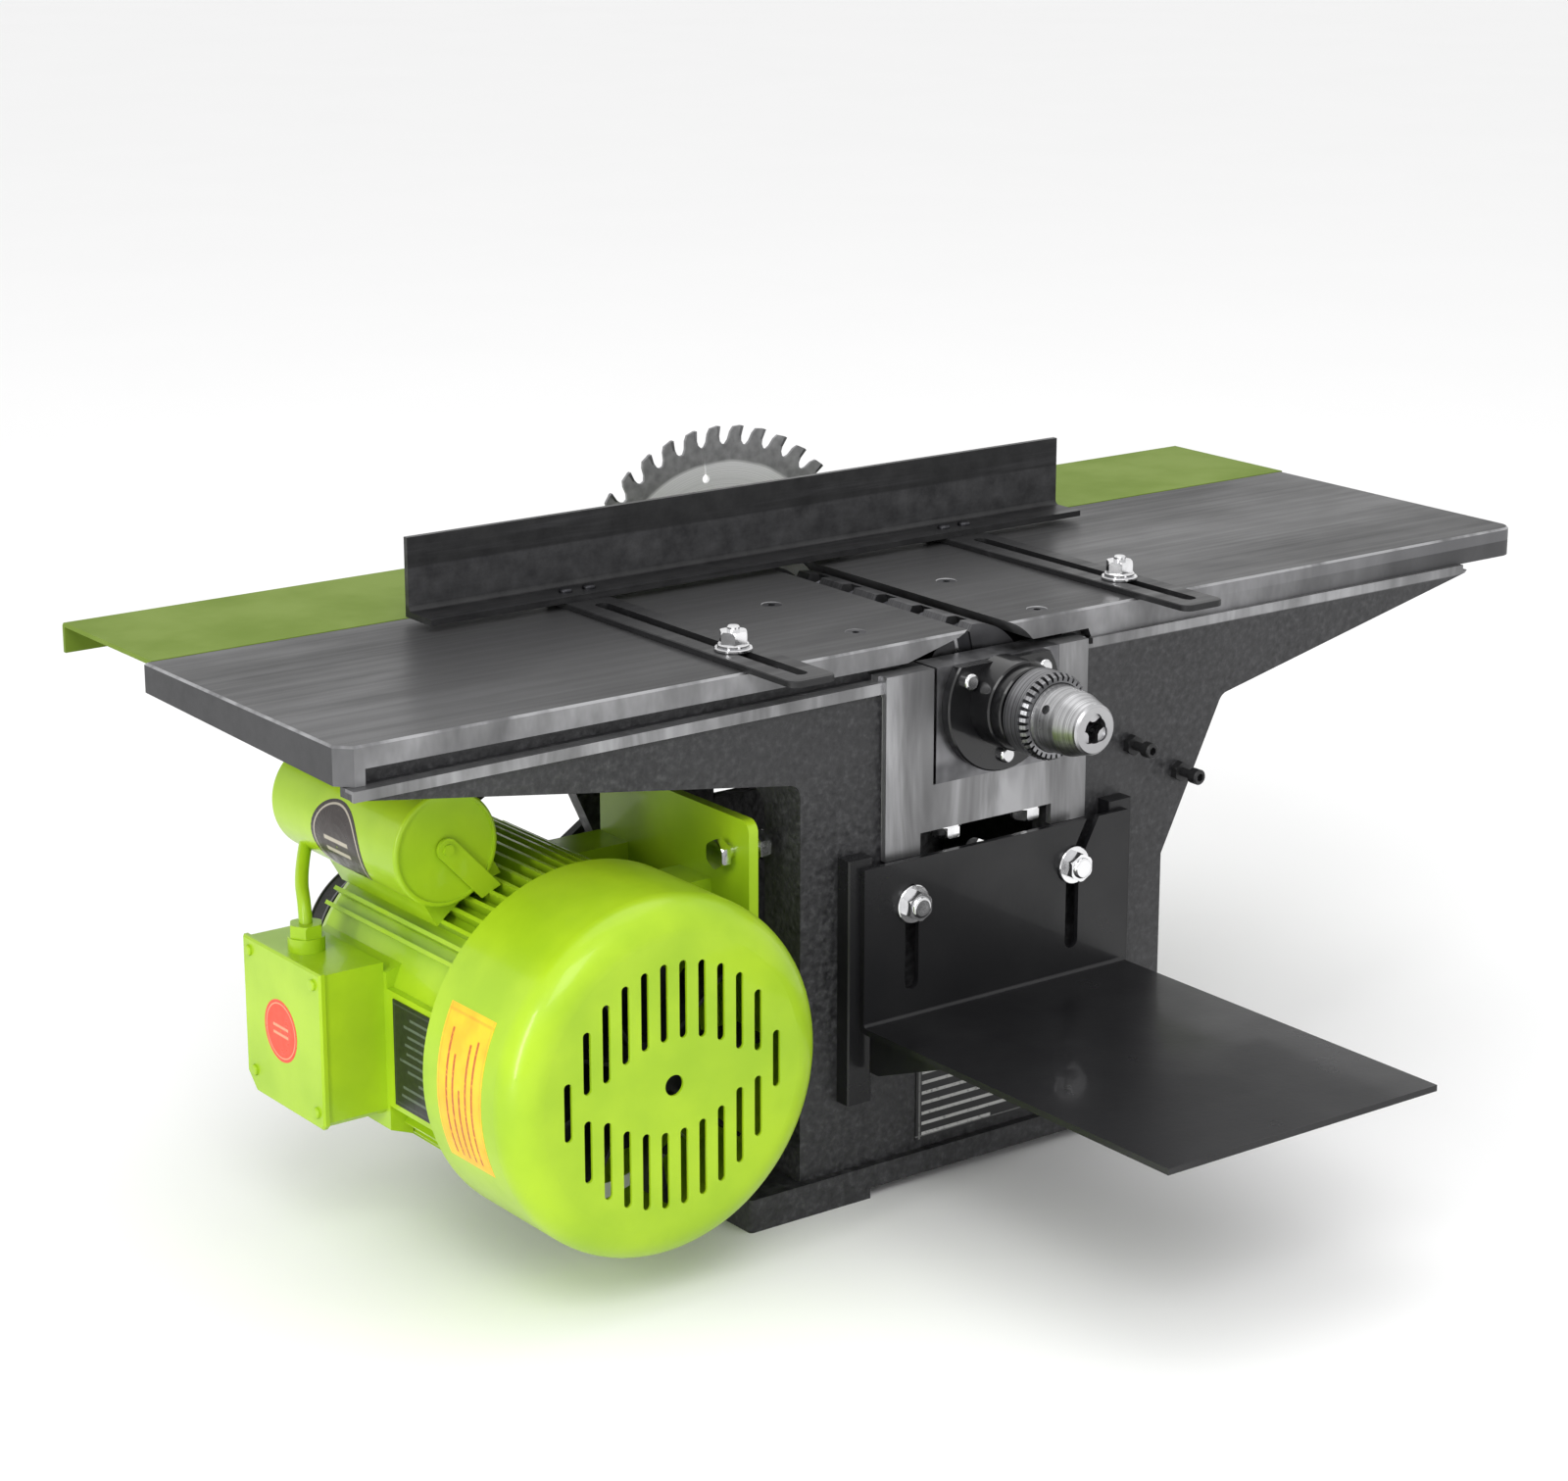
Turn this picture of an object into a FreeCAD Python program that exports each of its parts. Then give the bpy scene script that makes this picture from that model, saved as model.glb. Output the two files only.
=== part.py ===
"""Bench-type combination jointer: surface planer with a saw blade and a drill chuck on its spindle.

Millimetres. +X runs along the tables towards the infeed end, +Y away from the operator, +Z up.
The origin is the centre of the four base bolt holes, at the underside of the feet.
"""

import FreeCAD
import Part
import math
import os

Vec = FreeCAD.Vector

# ---- driving dimensions ------------------------------------------------------------------------

TABLE_TOP = 361.0  # work surface above the bench
TABLE_THICK = 14.0
OUTFEED_END = -470.0
INFEED_END = 484.0
TABLE_EDGE_Z = 341.0  # underside of the infeed table's border
TABLE_FRONT = -111.0
TABLE_BACK = 126.0

SPINDLE_Z = 316.0
CUT_R = TABLE_TOP - SPINDLE_Z  # the knives reach the height of the outfeed table
HEAD_R = CUT_R - 2.0
LIP_R = CUT_R + 3.0  # the table lips clear the knives by this arc
JOURNAL_R = 12.5
BEARING_R = 23.5
BEARING_W = 12.0

WALL_OUT = 115.0  # outer faces of the casting's front and rear walls, from the middle
WALL = 12.0
WALL_IN = WALL_OUT - WALL
PAD_FACE = -121.0  # machined pad on the front wall
RIM_Z = 343.5  # top of the walls at the spindle
REAR_TIP_X = -446.0  # left end of the rear wall's arm
PEDESTAL_L = -152.0
PEDESTAL_R = 149.0
FOOT_X = 195.0
FOOT_Y = 121.0
FOOT_Z = 22.0
ARCH_Z = 7.0
BOLT_X = 172.0  # base bolt holes
BOLT_Y = 88.0
BOLT_R = 5.5

WAY_ANGLE = math.radians(31.0)  # infeed ways fall outwards by this angle
WAY_U = Vec(math.cos(WAY_ANGLE), 0, -math.sin(WAY_ANGLE))
WAY_TOP = Vec(72.0, 0, 278.5)  # top inner corner of the ways
WAY_LENGTH = 104.0
WAY_GAP = 0.05

SAW_TABLE_BACK = 249.0
SHEET = 3.0
BLADE_Y = 183.0
BLADE_R = 127.0
BLADE_T = 2.2
TEETH = 40

PULLEY_Y0 = 127.0
PULLEY_Y1 = 157.0
GROOVE_PITCH = 15.0
SPINDLE_PULLEY_R = 35.0  # pitch radii
MOTOR_PULLEY_R = 50.0

MOTOR_X = -297.0
MOTOR_Z = 144.0
COVER_R = 112.0
BARREL_R = 92.0
PLATE_X = -184.5  # motor plate's outer face
PLATE_T = 7.0
HINGE_X = -167.5
HINGE_Z = 52.0
HINGE_R = 6.0

FENCE_Y = 115.0  # back face of the fence
FENCE_X0 = -292.0
FENCE_X1 = 246.0
FENCE_T = 4.0
FENCE_H = 52.0
ARM_W = 34.0
CLAMP_X = (-174.0, 140.5)
CLAMP_Y = -76.0
CLAMP_R = 4.0

MORTISE_X0 = -114.0
MORTISE_X1 = 104.0
MORTISE_FACE = -131.0
MORTISE_Z = 122.0  # top of the shelf
MORTISE_TOP = 226.0
MORTISE_DEPTH = 282.0
MORTISE_BOLTS = (-76.0, 57.0)
MORTISE_BOLT_Z = 197.0

CHUCK_NOSE = -214.0
CHUCK_BACK = -158.0
SLEEVE_FRONT = -178.0
JAW_ANGLE = math.radians(17.0)
JAW_R = 5.0
JAW_AXIS_R0 = 5.0  # jaw axis from the chuck axis, at the nose plane
JAW_OPEN_R = 5.0  # drill radius that the jaws are set to

CLEAR = 0.3  # curved faces of different bodies
RUN = 0.05  # running fits

# ---- building blocks ---------------------------------------------------------------------------


def block(x0, x1, y0, y1, z0, z1):
    return Part.makeBox(x1 - x0, y1 - y0, z1 - z0, Vec(x0, y0, z0))


def rod(start, direction, radius, length):
    return Part.makeCylinder(radius, length, start, direction)


def rod_y(x, z, radius, y0, y1):
    return rod(Vec(x, y0, z), Vec(0, 1, 0), radius, y1 - y0)


def rod_z(x, y, radius, z0, z1):
    return rod(Vec(x, y, z0), Vec(0, 0, 1), radius, z1 - z0)


def rod_x(y, z, radius, x0, x1):
    return rod(Vec(x0, y, z), Vec(1, 0, 0), radius, x1 - x0)


def ring_y(x, z, outer, inner, y0, y1):
    return rod_y(x, z, outer, y0, y1).cut(rod_y(x, z, inner, y0 - 1, y1 + 1))


def prism(points, direction):
    """A closed outline of 3-D points, pushed along a direction."""
    wire = Part.makePolygon(list(points) + [points[0]])
    return Part.Face(wire).extrude(direction)


def prism_xz(outline, y0, y1):
    return prism([Vec(x, y0, z) for x, z in outline], Vec(0, y1 - y0, 0))


def prism_yz(outline, x0, x1):
    return prism([Vec(x0, y, z) for y, z in outline], Vec(x1 - x0, 0, 0))


def prism_xy(outline, z0, z1):
    return prism([Vec(x, y, z0) for x, y in outline], Vec(0, 0, z1 - z0))


def turned(profile, x, z):
    """A profile of (y, radius) points, closed through the axis, turned about Y."""
    points = [Vec(0, profile[0][0], 0)]
    points += [Vec(r, y, 0) for y, r in profile]
    points += [Vec(0, profile[-1][0], 0), points[0]]
    face = Part.Face(Part.makePolygon(points))
    solid = face.revolve(Vec(0, 0, 0), Vec(0, 1, 0), 360)
    solid.translate(Vec(x, 0, z))
    return solid


def hexagon(centre, direction, across, height):
    """A hexagonal bolt head or nut, pushed along X, Y or Z."""
    axis = direction / direction.Length
    first = Vec(0, 0, 1) if abs(axis.z) < 0.9 else Vec(1, 0, 0)
    second = axis.cross(first)
    corner = across / math.sqrt(3.0)
    points = []
    for i in range(6):
        a = math.pi / 3 * i
        points.append(centre + first * (corner * math.cos(a)) + second * (corner * math.sin(a)))
    head = prism(points, axis * height)
    crown = Part.makeCone(corner * 1.25, corner * 0.93, height * 1.001, centre, axis)
    if height > 3:
        head = head.common(crown)
    return head


def join(*shapes):
    first = shapes[0]
    return first.fuse(list(shapes[1:])).removeSplitter() if len(shapes) > 1 else first


def rounded(shape, radius, chosen):
    """Fillets the edges for which chosen(edge's bounding box) is true."""
    edges = [e for e in shape.Edges if chosen(e.BoundBox)]
    return shape.makeFillet(radius, edges)


def bevelled(shape, size, chosen):
    edges = [e for e in shape.Edges if chosen(e.BoundBox)]
    return shape.makeChamfer(size, edges)


def slot_y(x, width, z0, z1, y0, y1):
    """An upright slot with round ends, through along Y."""
    r = width / 2
    middle = block(x - r, x + r, y0, y1, z0 + r, z1 - r)
    return join(middle, rod_y(x, z0 + r, r, y0, y1), rod_y(x, z1 - r, r, y0, y1))


def slot_z(x0, x1, y0, y1, z0, z1):
    """A slot with round ends through along Z, its long side along the longer of X and Y."""
    wide_x, wide_y = x1 - x0, y1 - y0
    r = min(wide_x, wide_y) / 2
    if wide_x > wide_y:
        yc = (y0 + y1) / 2
        ends = [rod_z(x0 + r, yc, r, z0, z1), rod_z(x1 - r, yc, r, z0, z1)]
        return join(block(x0 + r, x1 - r, y0, y1, z0, z1), *ends)
    xc = (x0 + x1) / 2
    ends = [rod_z(xc, y0 + r, r, z0, z1), rod_z(xc, y1 - r, r, z0, z1)]
    return join(block(x0, x1, y0 + r, y1 - r, z0, z1), *ends)


def window_yz(y0, y1, z0, z1, radius, x0, x1):
    """A tool for a window with rounded corners through a wall that faces X."""
    tool = block(x0, x1, y0, y1, z0, z1)
    return rounded(tool, radius, lambda b: b.XLength > (x1 - x0) * 0.99)


def on_circle(count, radius, x, z, start=0.0):
    """Points (x, z) evenly spaced on a circle about an axis along Y, from +X towards +Z."""
    for i in range(count):
        a = math.radians(start) + 2 * math.pi * i / count
        yield x + radius * math.cos(a), z + radius * math.sin(a)


def button_head(x, z, face, out, radius, height):
    """A domed screw head on a face that looks along Y; out is -1 for the front, 1 for the back."""
    head = rod(Vec(x, face, z), Vec(0, out, 0), radius, height)
    edge = face + out * height
    return rounded(head, height * 0.45, lambda b: abs(b.YMin - edge) < 0.01 and b.YLength < 0.01)


def save(node, *shapes):
    solids = []
    for shape in shapes:
        solids += shape.Solids
    whole = solids[0] if len(solids) == 1 else Part.makeCompound(solids)
    bad = [s for s in solids if not s.isValid() or s.Volume <= 0]
    print(f"{node:26s} solids {len(solids):3d}  cm3 {whole.Volume / 1000:9.2f}{'  BAD' if bad else ''}")
    whole.exportStep(os.path.join("parts", node + ".step"))


# ---- base casting ------------------------------------------------------------------------------

BLOCK_X = 50.0  # half width of the bearing blocks
BLOCK_Z = 268.0  # seat of the bearing blocks
WINDOW = (-62.0, 46.0, 206.0, 238.0)
BLOCK_BOLT_R = 5.0
RAIL_TOP = 343.0  # inner rails of the infeed arm, clear of the table at its lowest
BRACE_Z = 183.0  # the casting's braces leave the pedestal here
ARM_ROOT_Z = 285.0
LOCK_R = 3.0
LOCK_SCREWS = ((119.0, 264.0), (162.0, 238.5))


def wall_outline(left_brace):
    left = [(-203.0, 293.0), (PEDESTAL_L, BRACE_Z)] if left_brace else [(PEDESTAL_L, ARM_ROOT_Z - 1)]
    outline = [(PEDESTAL_R, 20.0), (PEDESTAL_R, BRACE_Z), (200.0, ARM_ROOT_Z), (430.0, 335.5)]
    outline += [(432.0, 337.5), (81.0, 337.5), (77.0, RIM_Z), (-92.0, RIM_Z), (-92.0, 340.0)]
    outline += [(-466.0, 337.0), (-466.0, 331.0)]
    return outline + left + [(PEDESTAL_L, 20.0)]


def way_ledge(y0, y1):
    low = WAY_TOP + WAY_U * WAY_LENGTH
    top = [(WAY_TOP.x, WAY_TOP.z - WAY_GAP), (low.x, low.z - WAY_GAP)]
    return prism_xz(top + [(low.x, low.z - 16), (WAY_TOP.x, WAY_TOP.z - 16)], y0, y1)


def hinge_lug(y0, y1):
    web = [(PEDESTAL_L + 1, HINGE_Z - 20), (HINGE_X, HINGE_Z - 9.5), (HINGE_X, HINGE_Z + 9.5)]
    web += [(PEDESTAL_L + 1, HINGE_Z + 20)]
    return join(prism_xz(web, y0, y1), rod_y(HINGE_X, HINGE_Z, 9.5, y0, y1))


def adjuster_start():
    """Where the infeed adjusting screw's axis begins, inside the infeed table's lug."""
    return Vec(140.0, 0, 268.0)


def base_casting():
    front = prism_xz(wall_outline(False), -WALL_OUT, -WALL_IN)
    front = rounded(front, 9.0, lambda b: b.YLength > 11 and b.XLength < 0.01 and b.ZLength < 0.01
                    and abs(b.ZMin - (ARM_ROOT_Z - 1)) < 1.5)
    rear = prism_xz(wall_outline(True), WALL_IN, WALL_OUT)
    rear = rear.cut(block(-480, REAR_TIP_X, WALL_IN - 1, WALL_OUT + 1, 300, RIM_Z + 1))
    lip = block(84, 428, -WALL_OUT, -WALL_OUT + 3.6, 336, 341.3)
    strip = prism_xz([(-88.0, 340.0), (-466.0, 337.0), (-466.0, 330.5), (-88.0, 332.5)],
                     -WALL_OUT - 3.0, -WALL_OUT + 1)
    pad = prism_xz([(-90.0, 224.0), (75.0, 224.0), (75.0, RIM_Z), (-90.0, RIM_Z)],
                   PAD_FACE, -WALL_OUT + 1)
    bosses = [block(-64, 64, y0, y1, 238, RIM_Z) for y0, y1 in ((-WALL_IN - 1, -99), (93, WALL_IN + 1))]
    side_l = block(PEDESTAL_L, PEDESTAL_L + 10, -WALL_IN - 1, WALL_IN + 1, 20, 300)
    side_l = side_l.cut(window_yz(-78, 58, 50, 272, 14, PEDESTAL_L - 1, PEDESTAL_L + 11))
    side_r = block(PEDESTAL_R - 10, PEDESTAL_R, -WALL_IN - 1, WALL_IN + 1, 20, 180)
    side_r = side_r.cut(window_yz(-78, 78, 50, 150, 14, PEDESTAL_R - 11, PEDESTAL_R + 1))
    across = -WALL_IN - 1, WALL_IN + 1
    chute = block(-92, -66, *across, 292, TABLE_TOP - TABLE_THICK)
    rest = block(-430, -404, *across, 329, TABLE_TOP - TABLE_THICK)
    tie = block(380, 400, *across, 330, 337)
    under = TABLE_TOP - TABLE_THICK
    left_rail = [(-452.0, 333.0), (-91.0, 333.0), (-91.0, under), (-452.0, under)]
    right_rail = [(212.0, 322.0), (330.0, 322.0), (426.0, 335.6), (426.0, 337.0), (212.0, 337.0)]
    rails = [prism_xz(r, y0, y1) for r in (left_rail, right_rail)
             for y0, y1 in ((-WALL_IN - 1, -94), (94, WALL_IN + 1))]
    rails += [block(212, 426, y0, y0 + 5.5, 336, RAIL_TOP) for y0 in (-99.5, 94)]
    beam = block(150, 164, *across, 200, 222)
    ledges = [way_ledge(-WALL_IN - 1, -80), way_ledge(80, WALL_IN + 1)]
    lugs = [hinge_lug(-98, -80), hinge_lug(62, 80)]
    nut_boss = rod(adjuster_start() + WAY_U * 40, WAY_U, 12.0, 18)
    nut_web = prism_xz([(152.0, 202.0), (163.0, 202.0), (184.6, 229.5), (169.1, 238.8), (160.0, 221.0),
                        (152.0, 221.0)], -9, 9)
    foot = block(-FOOT_X, FOOT_X, -FOOT_Y, FOOT_Y, ARCH_Z, FOOT_Z)
    pads = [block(x, x + 95, y, y + 56, 0, ARCH_Z + 1)
            for x in (-FOOT_X, FOOT_X - 95) for y in (-FOOT_Y, FOOT_Y - 56)]
    foot = join(foot, *pads).cut(block(-126, 122, -84, 84, -1, FOOT_Z + 1))
    foot = rounded(foot, 3.0, lambda b: b.XLength < 0.01 and b.YLength < 0.01
                   and abs(abs(b.XMin) - FOOT_X) < 0.1)
    body = join(front, rear, pad, lip, strip, *bosses, side_l, side_r, chute, rest, tie, beam, *rails,
                *ledges, *lugs, nut_web, nut_boss, foot)
    tools = [rod_z(x, y, BOLT_R, -1, FOOT_Z + 1) for x in (-BOLT_X, BOLT_X) for y in (-BOLT_Y, BOLT_Y)]
    for y0, y1 in ((PAD_FACE - 1, -98), (92, WALL_OUT + 1)):
        tools.append(block(-BLOCK_X - 2.2, BLOCK_X + 0.2, y0, y1, BLOCK_Z, RIM_Z + 1))
        tools.append(block(WINDOW[0], WINDOW[1], y0, y1, WINDOW[2], WINDOW[3]))
    tools += [rod_z(x, y, BLOCK_BOLT_R + CLEAR, 237, BLOCK_Z + 1) for x in (-33, 33) for y in (-110, 104)]
    tools += [rod_y(x, z, LOCK_R + CLEAR, -WALL_OUT - 1, -WALL_IN + 1) for x, z in LOCK_SCREWS]
    tools += [rod_y(x, MORTISE_BOLT_Z, 5.05, -WALL_OUT - 7, -WALL_IN + 1) for x in MORTISE_BOLTS]
    tools.append(rod_y(HINGE_X, HINGE_Z, HINGE_R + RUN, -99, 81))
    tools.append(rod(adjuster_start(), WAY_U, 5 + CLEAR, 90))
    tools += [rod_z(x, y, 3.05, 320, TABLE_TOP) for x, y in OUTFEED_SCREWS]
    return body.cut(tools)


# ---- tables ------------------------------------------------------------------------------------

OUTFEED_SCREWS = ((-76.0, 17.5), (-76.0, -71.5))
INFEED_SCREWS = ((56.0, 1.0), (54.0, -94.0))
SCREW_HEAD_R = 7.0


def countersink(x, y):
    depth = 4.0
    z = TABLE_TOP
    return Part.makeCone(SCREW_HEAD_R - depth, SCREW_HEAD_R + 0.3, depth + 0.3, Vec(x, y, z - depth),
                         Vec(0, 0, 1))


def table_screw(x, y, z0):
    """Countersunk socket screw, its head a little below the table's surface."""
    z = TABLE_TOP - 0.4
    head = Part.makeCone(SCREW_HEAD_R - 4, SCREW_HEAD_R - 0.5, 3.5, Vec(x, y, z - 3.5), Vec(0, 0, 1))
    screw = join(head, rod_z(x, y, 3.0, z0, z - 2))
    return screw.cut(hexagon(Vec(x, y, z - 2.4), Vec(0, 0, 1), 4.5, 3.0))


def outfeed_table():
    under = TABLE_TOP - TABLE_THICK
    corner = 9.0
    outline = [(OUTFEED_END + corner, TABLE_FRONT), (0, TABLE_FRONT), (0, TABLE_BACK),
               (OUTFEED_END, TABLE_BACK), (OUTFEED_END, TABLE_FRONT + corner)]
    plate = prism_xy(outline, under, TABLE_TOP)
    lip_y = [(TABLE_FRONT, 337.2), (TABLE_BACK, 342.0), (TABLE_BACK, under + 1), (TABLE_FRONT, under + 1)]
    lip = prism_yz(lip_y, OUTFEED_END, OUTFEED_END + 16)
    lip = lip.common(prism_xy(outline, 0, TABLE_TOP))
    table = join(plate, lip)
    table = bevelled(table, 1.4, lambda b: b.ZMin > TABLE_TOP - 0.01 and b.XMin < -20)
    tools = [rod_y(0, SPINDLE_Z, LIP_R, TABLE_FRONT - 1, TABLE_BACK + 1)]
    ramp = [(-66.0, under - 0.1), (-5.0, under - 0.1), (-5.0, TABLE_TOP - 3), (-26.0, TABLE_TOP - 4)]
    tools.append(prism_xz(ramp, TABLE_FRONT - 1, TABLE_BACK + 1))
    tools += [countersink(x, y) for x, y in OUTFEED_SCREWS]
    tools += [rod_z(x, y, 3.05, 340, TABLE_TOP) for x, y in OUTFEED_SCREWS]
    tools.append(rod_z(CLAMP_X[0], CLAMP_Y, CLAMP_R + RUN, 340, TABLE_TOP + 1))
    return table.cut(tools)


def infeed_table():
    under = TABLE_TOP - TABLE_THICK
    outline = [(0, TABLE_FRONT), (INFEED_END, TABLE_FRONT), (INFEED_END, TABLE_BACK), (0, TABLE_BACK)]
    plate = prism_xy(outline, under, TABLE_TOP)
    lip = block(INFEED_END - 14, INFEED_END, TABLE_FRONT, TABLE_BACK, TABLE_EDGE_Z, under + 1)
    skirt = [(83.0, under + 1), (86.0, TABLE_EDGE_Z), (INFEED_END, TABLE_EDGE_Z), (INFEED_END, under + 1)]
    skirts = [prism_xz(skirt, TABLE_FRONT, -101), prism_xz(skirt, 114, TABLE_BACK)]
    table = join(plate, lip, *skirts)
    table = rounded(table, 12.0, lambda b: b.XMin > INFEED_END - 0.1 and b.YMax < TABLE_FRONT + 0.1
                    and b.ZLength > 15)
    low = WAY_TOP + WAY_U * (WAY_LENGTH - 2)
    side = [(WAY_TOP.x, under + 1), (WAY_TOP.x, WAY_TOP.z), (low.x, low.z), (low.x + 9, low.z + 12),
            (192.0, 292.0), (204.0, under + 1)]
    runners = [prism_xz(side, -97.9, -86), prism_xz(side, 86, 97.9)]
    chute = block(76, 86, -87, 87, 305, under + 1)
    lug = block(150, 160, -87, 87, 252, under + 1)
    table = join(table, *runners, chute, lug)
    table = bevelled(table, 1.4, lambda b: b.ZMin > TABLE_TOP - 0.01 and b.XMax > 20)
    shift = 6.0  # the table slides this far under the clamp bolt
    clamp_r = CLAMP_R + CLEAR
    tools = [rod_y(0, SPINDLE_Z, LIP_R, TABLE_FRONT - 1, TABLE_BACK + 1)]
    tools.append(slot_z(CLAMP_X[1] - shift - clamp_r, CLAMP_X[1] + clamp_r, CLAMP_Y - clamp_r,
                        CLAMP_Y + clamp_r, 340, TABLE_TOP + 1))
    tools += [countersink(x, y) for x, y in INFEED_SCREWS]
    tools += [rod_z(x, y, 3.05, 352, TABLE_TOP) for x, y in INFEED_SCREWS]
    start = adjuster_start()
    tools.append(rod(start, WAY_U, 5 + RUN, 40))
    return table.cut(tools)


def adjusting_screw():
    """Threaded rod with two collars that hold it in the infeed table's lug, and a knob at its end."""
    start = adjuster_start()
    screw = rod(start, WAY_U, 5.0, 118)
    collars = [rod(start + WAY_U * 1.2, WAY_U, 8.0, 5), rod(start + WAY_U * 28.7, WAY_U, 8.0, 5)]
    knob = rod(start + WAY_U * 96, WAY_U, 19.0, 14)
    knob = rounded(knob, 3.0, lambda b: b.YLength > 30)
    side = Vec(0, 1, 0)
    up = WAY_U.cross(side)
    grips = []
    for i in range(8):
        a = math.pi / 4 * i
        out = side * (20.5 * math.cos(a)) + up * (20.5 * math.sin(a))
        grips.append(rod(start + WAY_U * 95 + out, WAY_U, 4.0, 16))
    return join(screw, *collars, knob).cut(grips)


def gib_strip():
    """Strip between the front wall and the infeed runner, pressed by the lock screws."""
    up = Vec(-WAY_U.z, 0, WAY_U.x)
    corner = WAY_TOP + WAY_U * 32 + up * 3
    points = [corner, corner + WAY_U * 70, corner + WAY_U * 70 + up * 18, corner + up * 18]
    points = [Vec(p.x, -WALL_IN + 0.1, p.z) for p in points]
    return prism(points, Vec(0, 4.9, 0))


def lock_screw(x, z):
    tip = -WALL_IN
    shaft = rod_y(x, z, LOCK_R, -132, tip)
    nut = hexagon(Vec(x, -WALL_OUT - 0.1, z), Vec(0, -1, 0), 12.0, 5.0)
    head = rod_y(x, z, 5.2, -137, -129)
    head = bevelled(head, 0.9, lambda b: b.YLength < 0.01 and b.XLength > 10)
    socket = hexagon(Vec(x, -138, z), Vec(0, 1, 0), 5.0, 4.5)
    return join(shaft, nut, head).cut(socket)


def saw_table():
    top, back = TABLE_TOP, SAW_TABLE_BACK
    sheet = block(OUTFEED_END + 5, INFEED_END + 2, TABLE_BACK + 0.5, back, top - SHEET, top)
    flange = block(OUTFEED_END + 5, INFEED_END + 2, back - SHEET, back, top - 20, top)
    folded = join(sheet, flange)
    folded = rounded(folded, 3.5, lambda b: b.XLength > 900 and b.YMin > back - 0.1 and b.ZMin > top - 0.1)
    return folded.cut(slot_z(-122, 122, BLADE_Y - 3.4, BLADE_Y + 5.6, top - 4, top + 1))


BRACKET_X = (-330.0, -195.0, 195.0, 330.0)


def saw_bracket(x):
    rise, top, reach = TABLE_BACK + 4, TABLE_TOP - SHEET, SAW_TABLE_BACK - SHEET - 2
    outline = [(WALL_OUT, 317.0), (WALL_OUT, 335.0), (rise, 335.0), (rise, top), (reach, top),
               (reach, top - 8), (rise + 20, 317.0)]
    web = prism_yz(outline, x - 3, x + 3)
    foot = block(x - 16, x + 16, WALL_OUT, WALL_OUT + 5, 317, 335)
    rest = block(x - 16, x + 16, rise, reach, top - 4, top)
    return join(web, foot, rest)


def bracket_bolts(x):
    return [hexagon(Vec(x + dx, WALL_OUT + 5, 326), Vec(0, 1, 0), 10.0, 5.0) for dx in (-10, 10)]


# ---- fence -------------------------------------------------------------------------------------

ARM_Z = TABLE_TOP + 0.2
ARM_T = 4.0


def fence_rail():
    z0 = ARM_Z + ARM_T
    front = FENCE_Y - 31
    outline = [(FENCE_Y, z0), (front, z0), (front, z0 + FENCE_T), (FENCE_Y - FENCE_T, z0 + FENCE_T),
               (FENCE_Y - FENCE_T, z0 + FENCE_H), (FENCE_Y, z0 + FENCE_H)]
    rail = prism_yz(outline, FENCE_X0, FENCE_X1)
    inner = FENCE_Y - FENCE_T
    rail = rounded(rail, 3.5, lambda b: b.XLength > 500 and abs(b.YMin - inner) < 0.1
                   and abs(b.ZMin - z0 - FENCE_T) < 0.1)
    holes = [rod_z(x + dx, FENCE_Y - 18, 2.6, z0 - 1, z0 + 6) for x in CLAMP_X for dx in (-9, 9)]
    return rail.cut(holes)


def fence_arm(x):
    half = ARM_W / 2
    front, back = -160.0, FENCE_Y - 7
    bar = block(x - half, x + half, front, back, ARM_Z, ARM_Z + ARM_T)
    bar = rounded(bar, 7.0, lambda b: b.ZLength > 3 and b.YMax < front + 0.1)
    bar = bevelled(bar, 0.6, lambda b: b.ZMin > ARM_Z + ARM_T - 0.01 and b.YLength > 200)
    holes = [rod_z(x + dx, FENCE_Y - 18, 2.6, ARM_Z - 1, ARM_Z + 6) for dx in (-9, 9)]
    return bar.cut([slot_z(x - 5, x + 5, front + 12, 72, ARM_Z - 1, ARM_Z + 6)] + holes)


def arm_screws(x):
    z = ARM_Z + ARM_T + FENCE_T
    screws = []
    for dx in (-9, 9):
        head = rod_z(x + dx, FENCE_Y - 18, 4.5, z, z + 2.6)
        head = rounded(head, 1.6, lambda b: b.ZMin > z + 2.5)
        screws.append(join(head, rod_z(x + dx, FENCE_Y - 18, 2.5, ARM_Z + 0.5, z + 1)))
    return screws


def clamp_washers(x):
    z = ARM_Z + ARM_T
    low = rod_z(x, CLAMP_Y, 12.0, z, z + 2.2).cut(rod_z(x, CLAMP_Y, CLAMP_R, z - 1, z + 3))
    high = rod_z(x, CLAMP_Y, 10.0, z + 2.2, z + 4.4).cut(rod_z(x, CLAMP_Y, CLAMP_R, z, z + 6))
    return [bevelled(w, 0.5, lambda b: b.ZLength < 0.01 and b.XLength > 18) for w in (low, high)]


def clamp_nut(x):
    z = ARM_Z + ARM_T + 4.4
    nut = hexagon(Vec(x, CLAMP_Y, z), Vec(0, 0, 1), 16.0, 8.0)
    return nut.cut(rod_z(x, CLAMP_Y, CLAMP_R, z - 1, z + 9))


def clamp_bolt(x):
    """Bolt up through the table; on the infeed side its head hangs clear for the table to come down."""
    under = TABLE_TOP - TABLE_THICK
    low = under - 4 if x > 0 else under
    head = hexagon(Vec(x, CLAMP_Y, low), Vec(0, 0, -1), 13.0, 5.0)
    bolt = join(rod_z(x, CLAMP_Y, CLAMP_R, low - 1, ARM_Z + ARM_T + 15.5), head)
    return bevelled(bolt, 0.7, lambda b: b.ZMin > ARM_Z + ARM_T + 15.4)


# ---- spindle and its bearings ------------------------------------------------------------------

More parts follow.
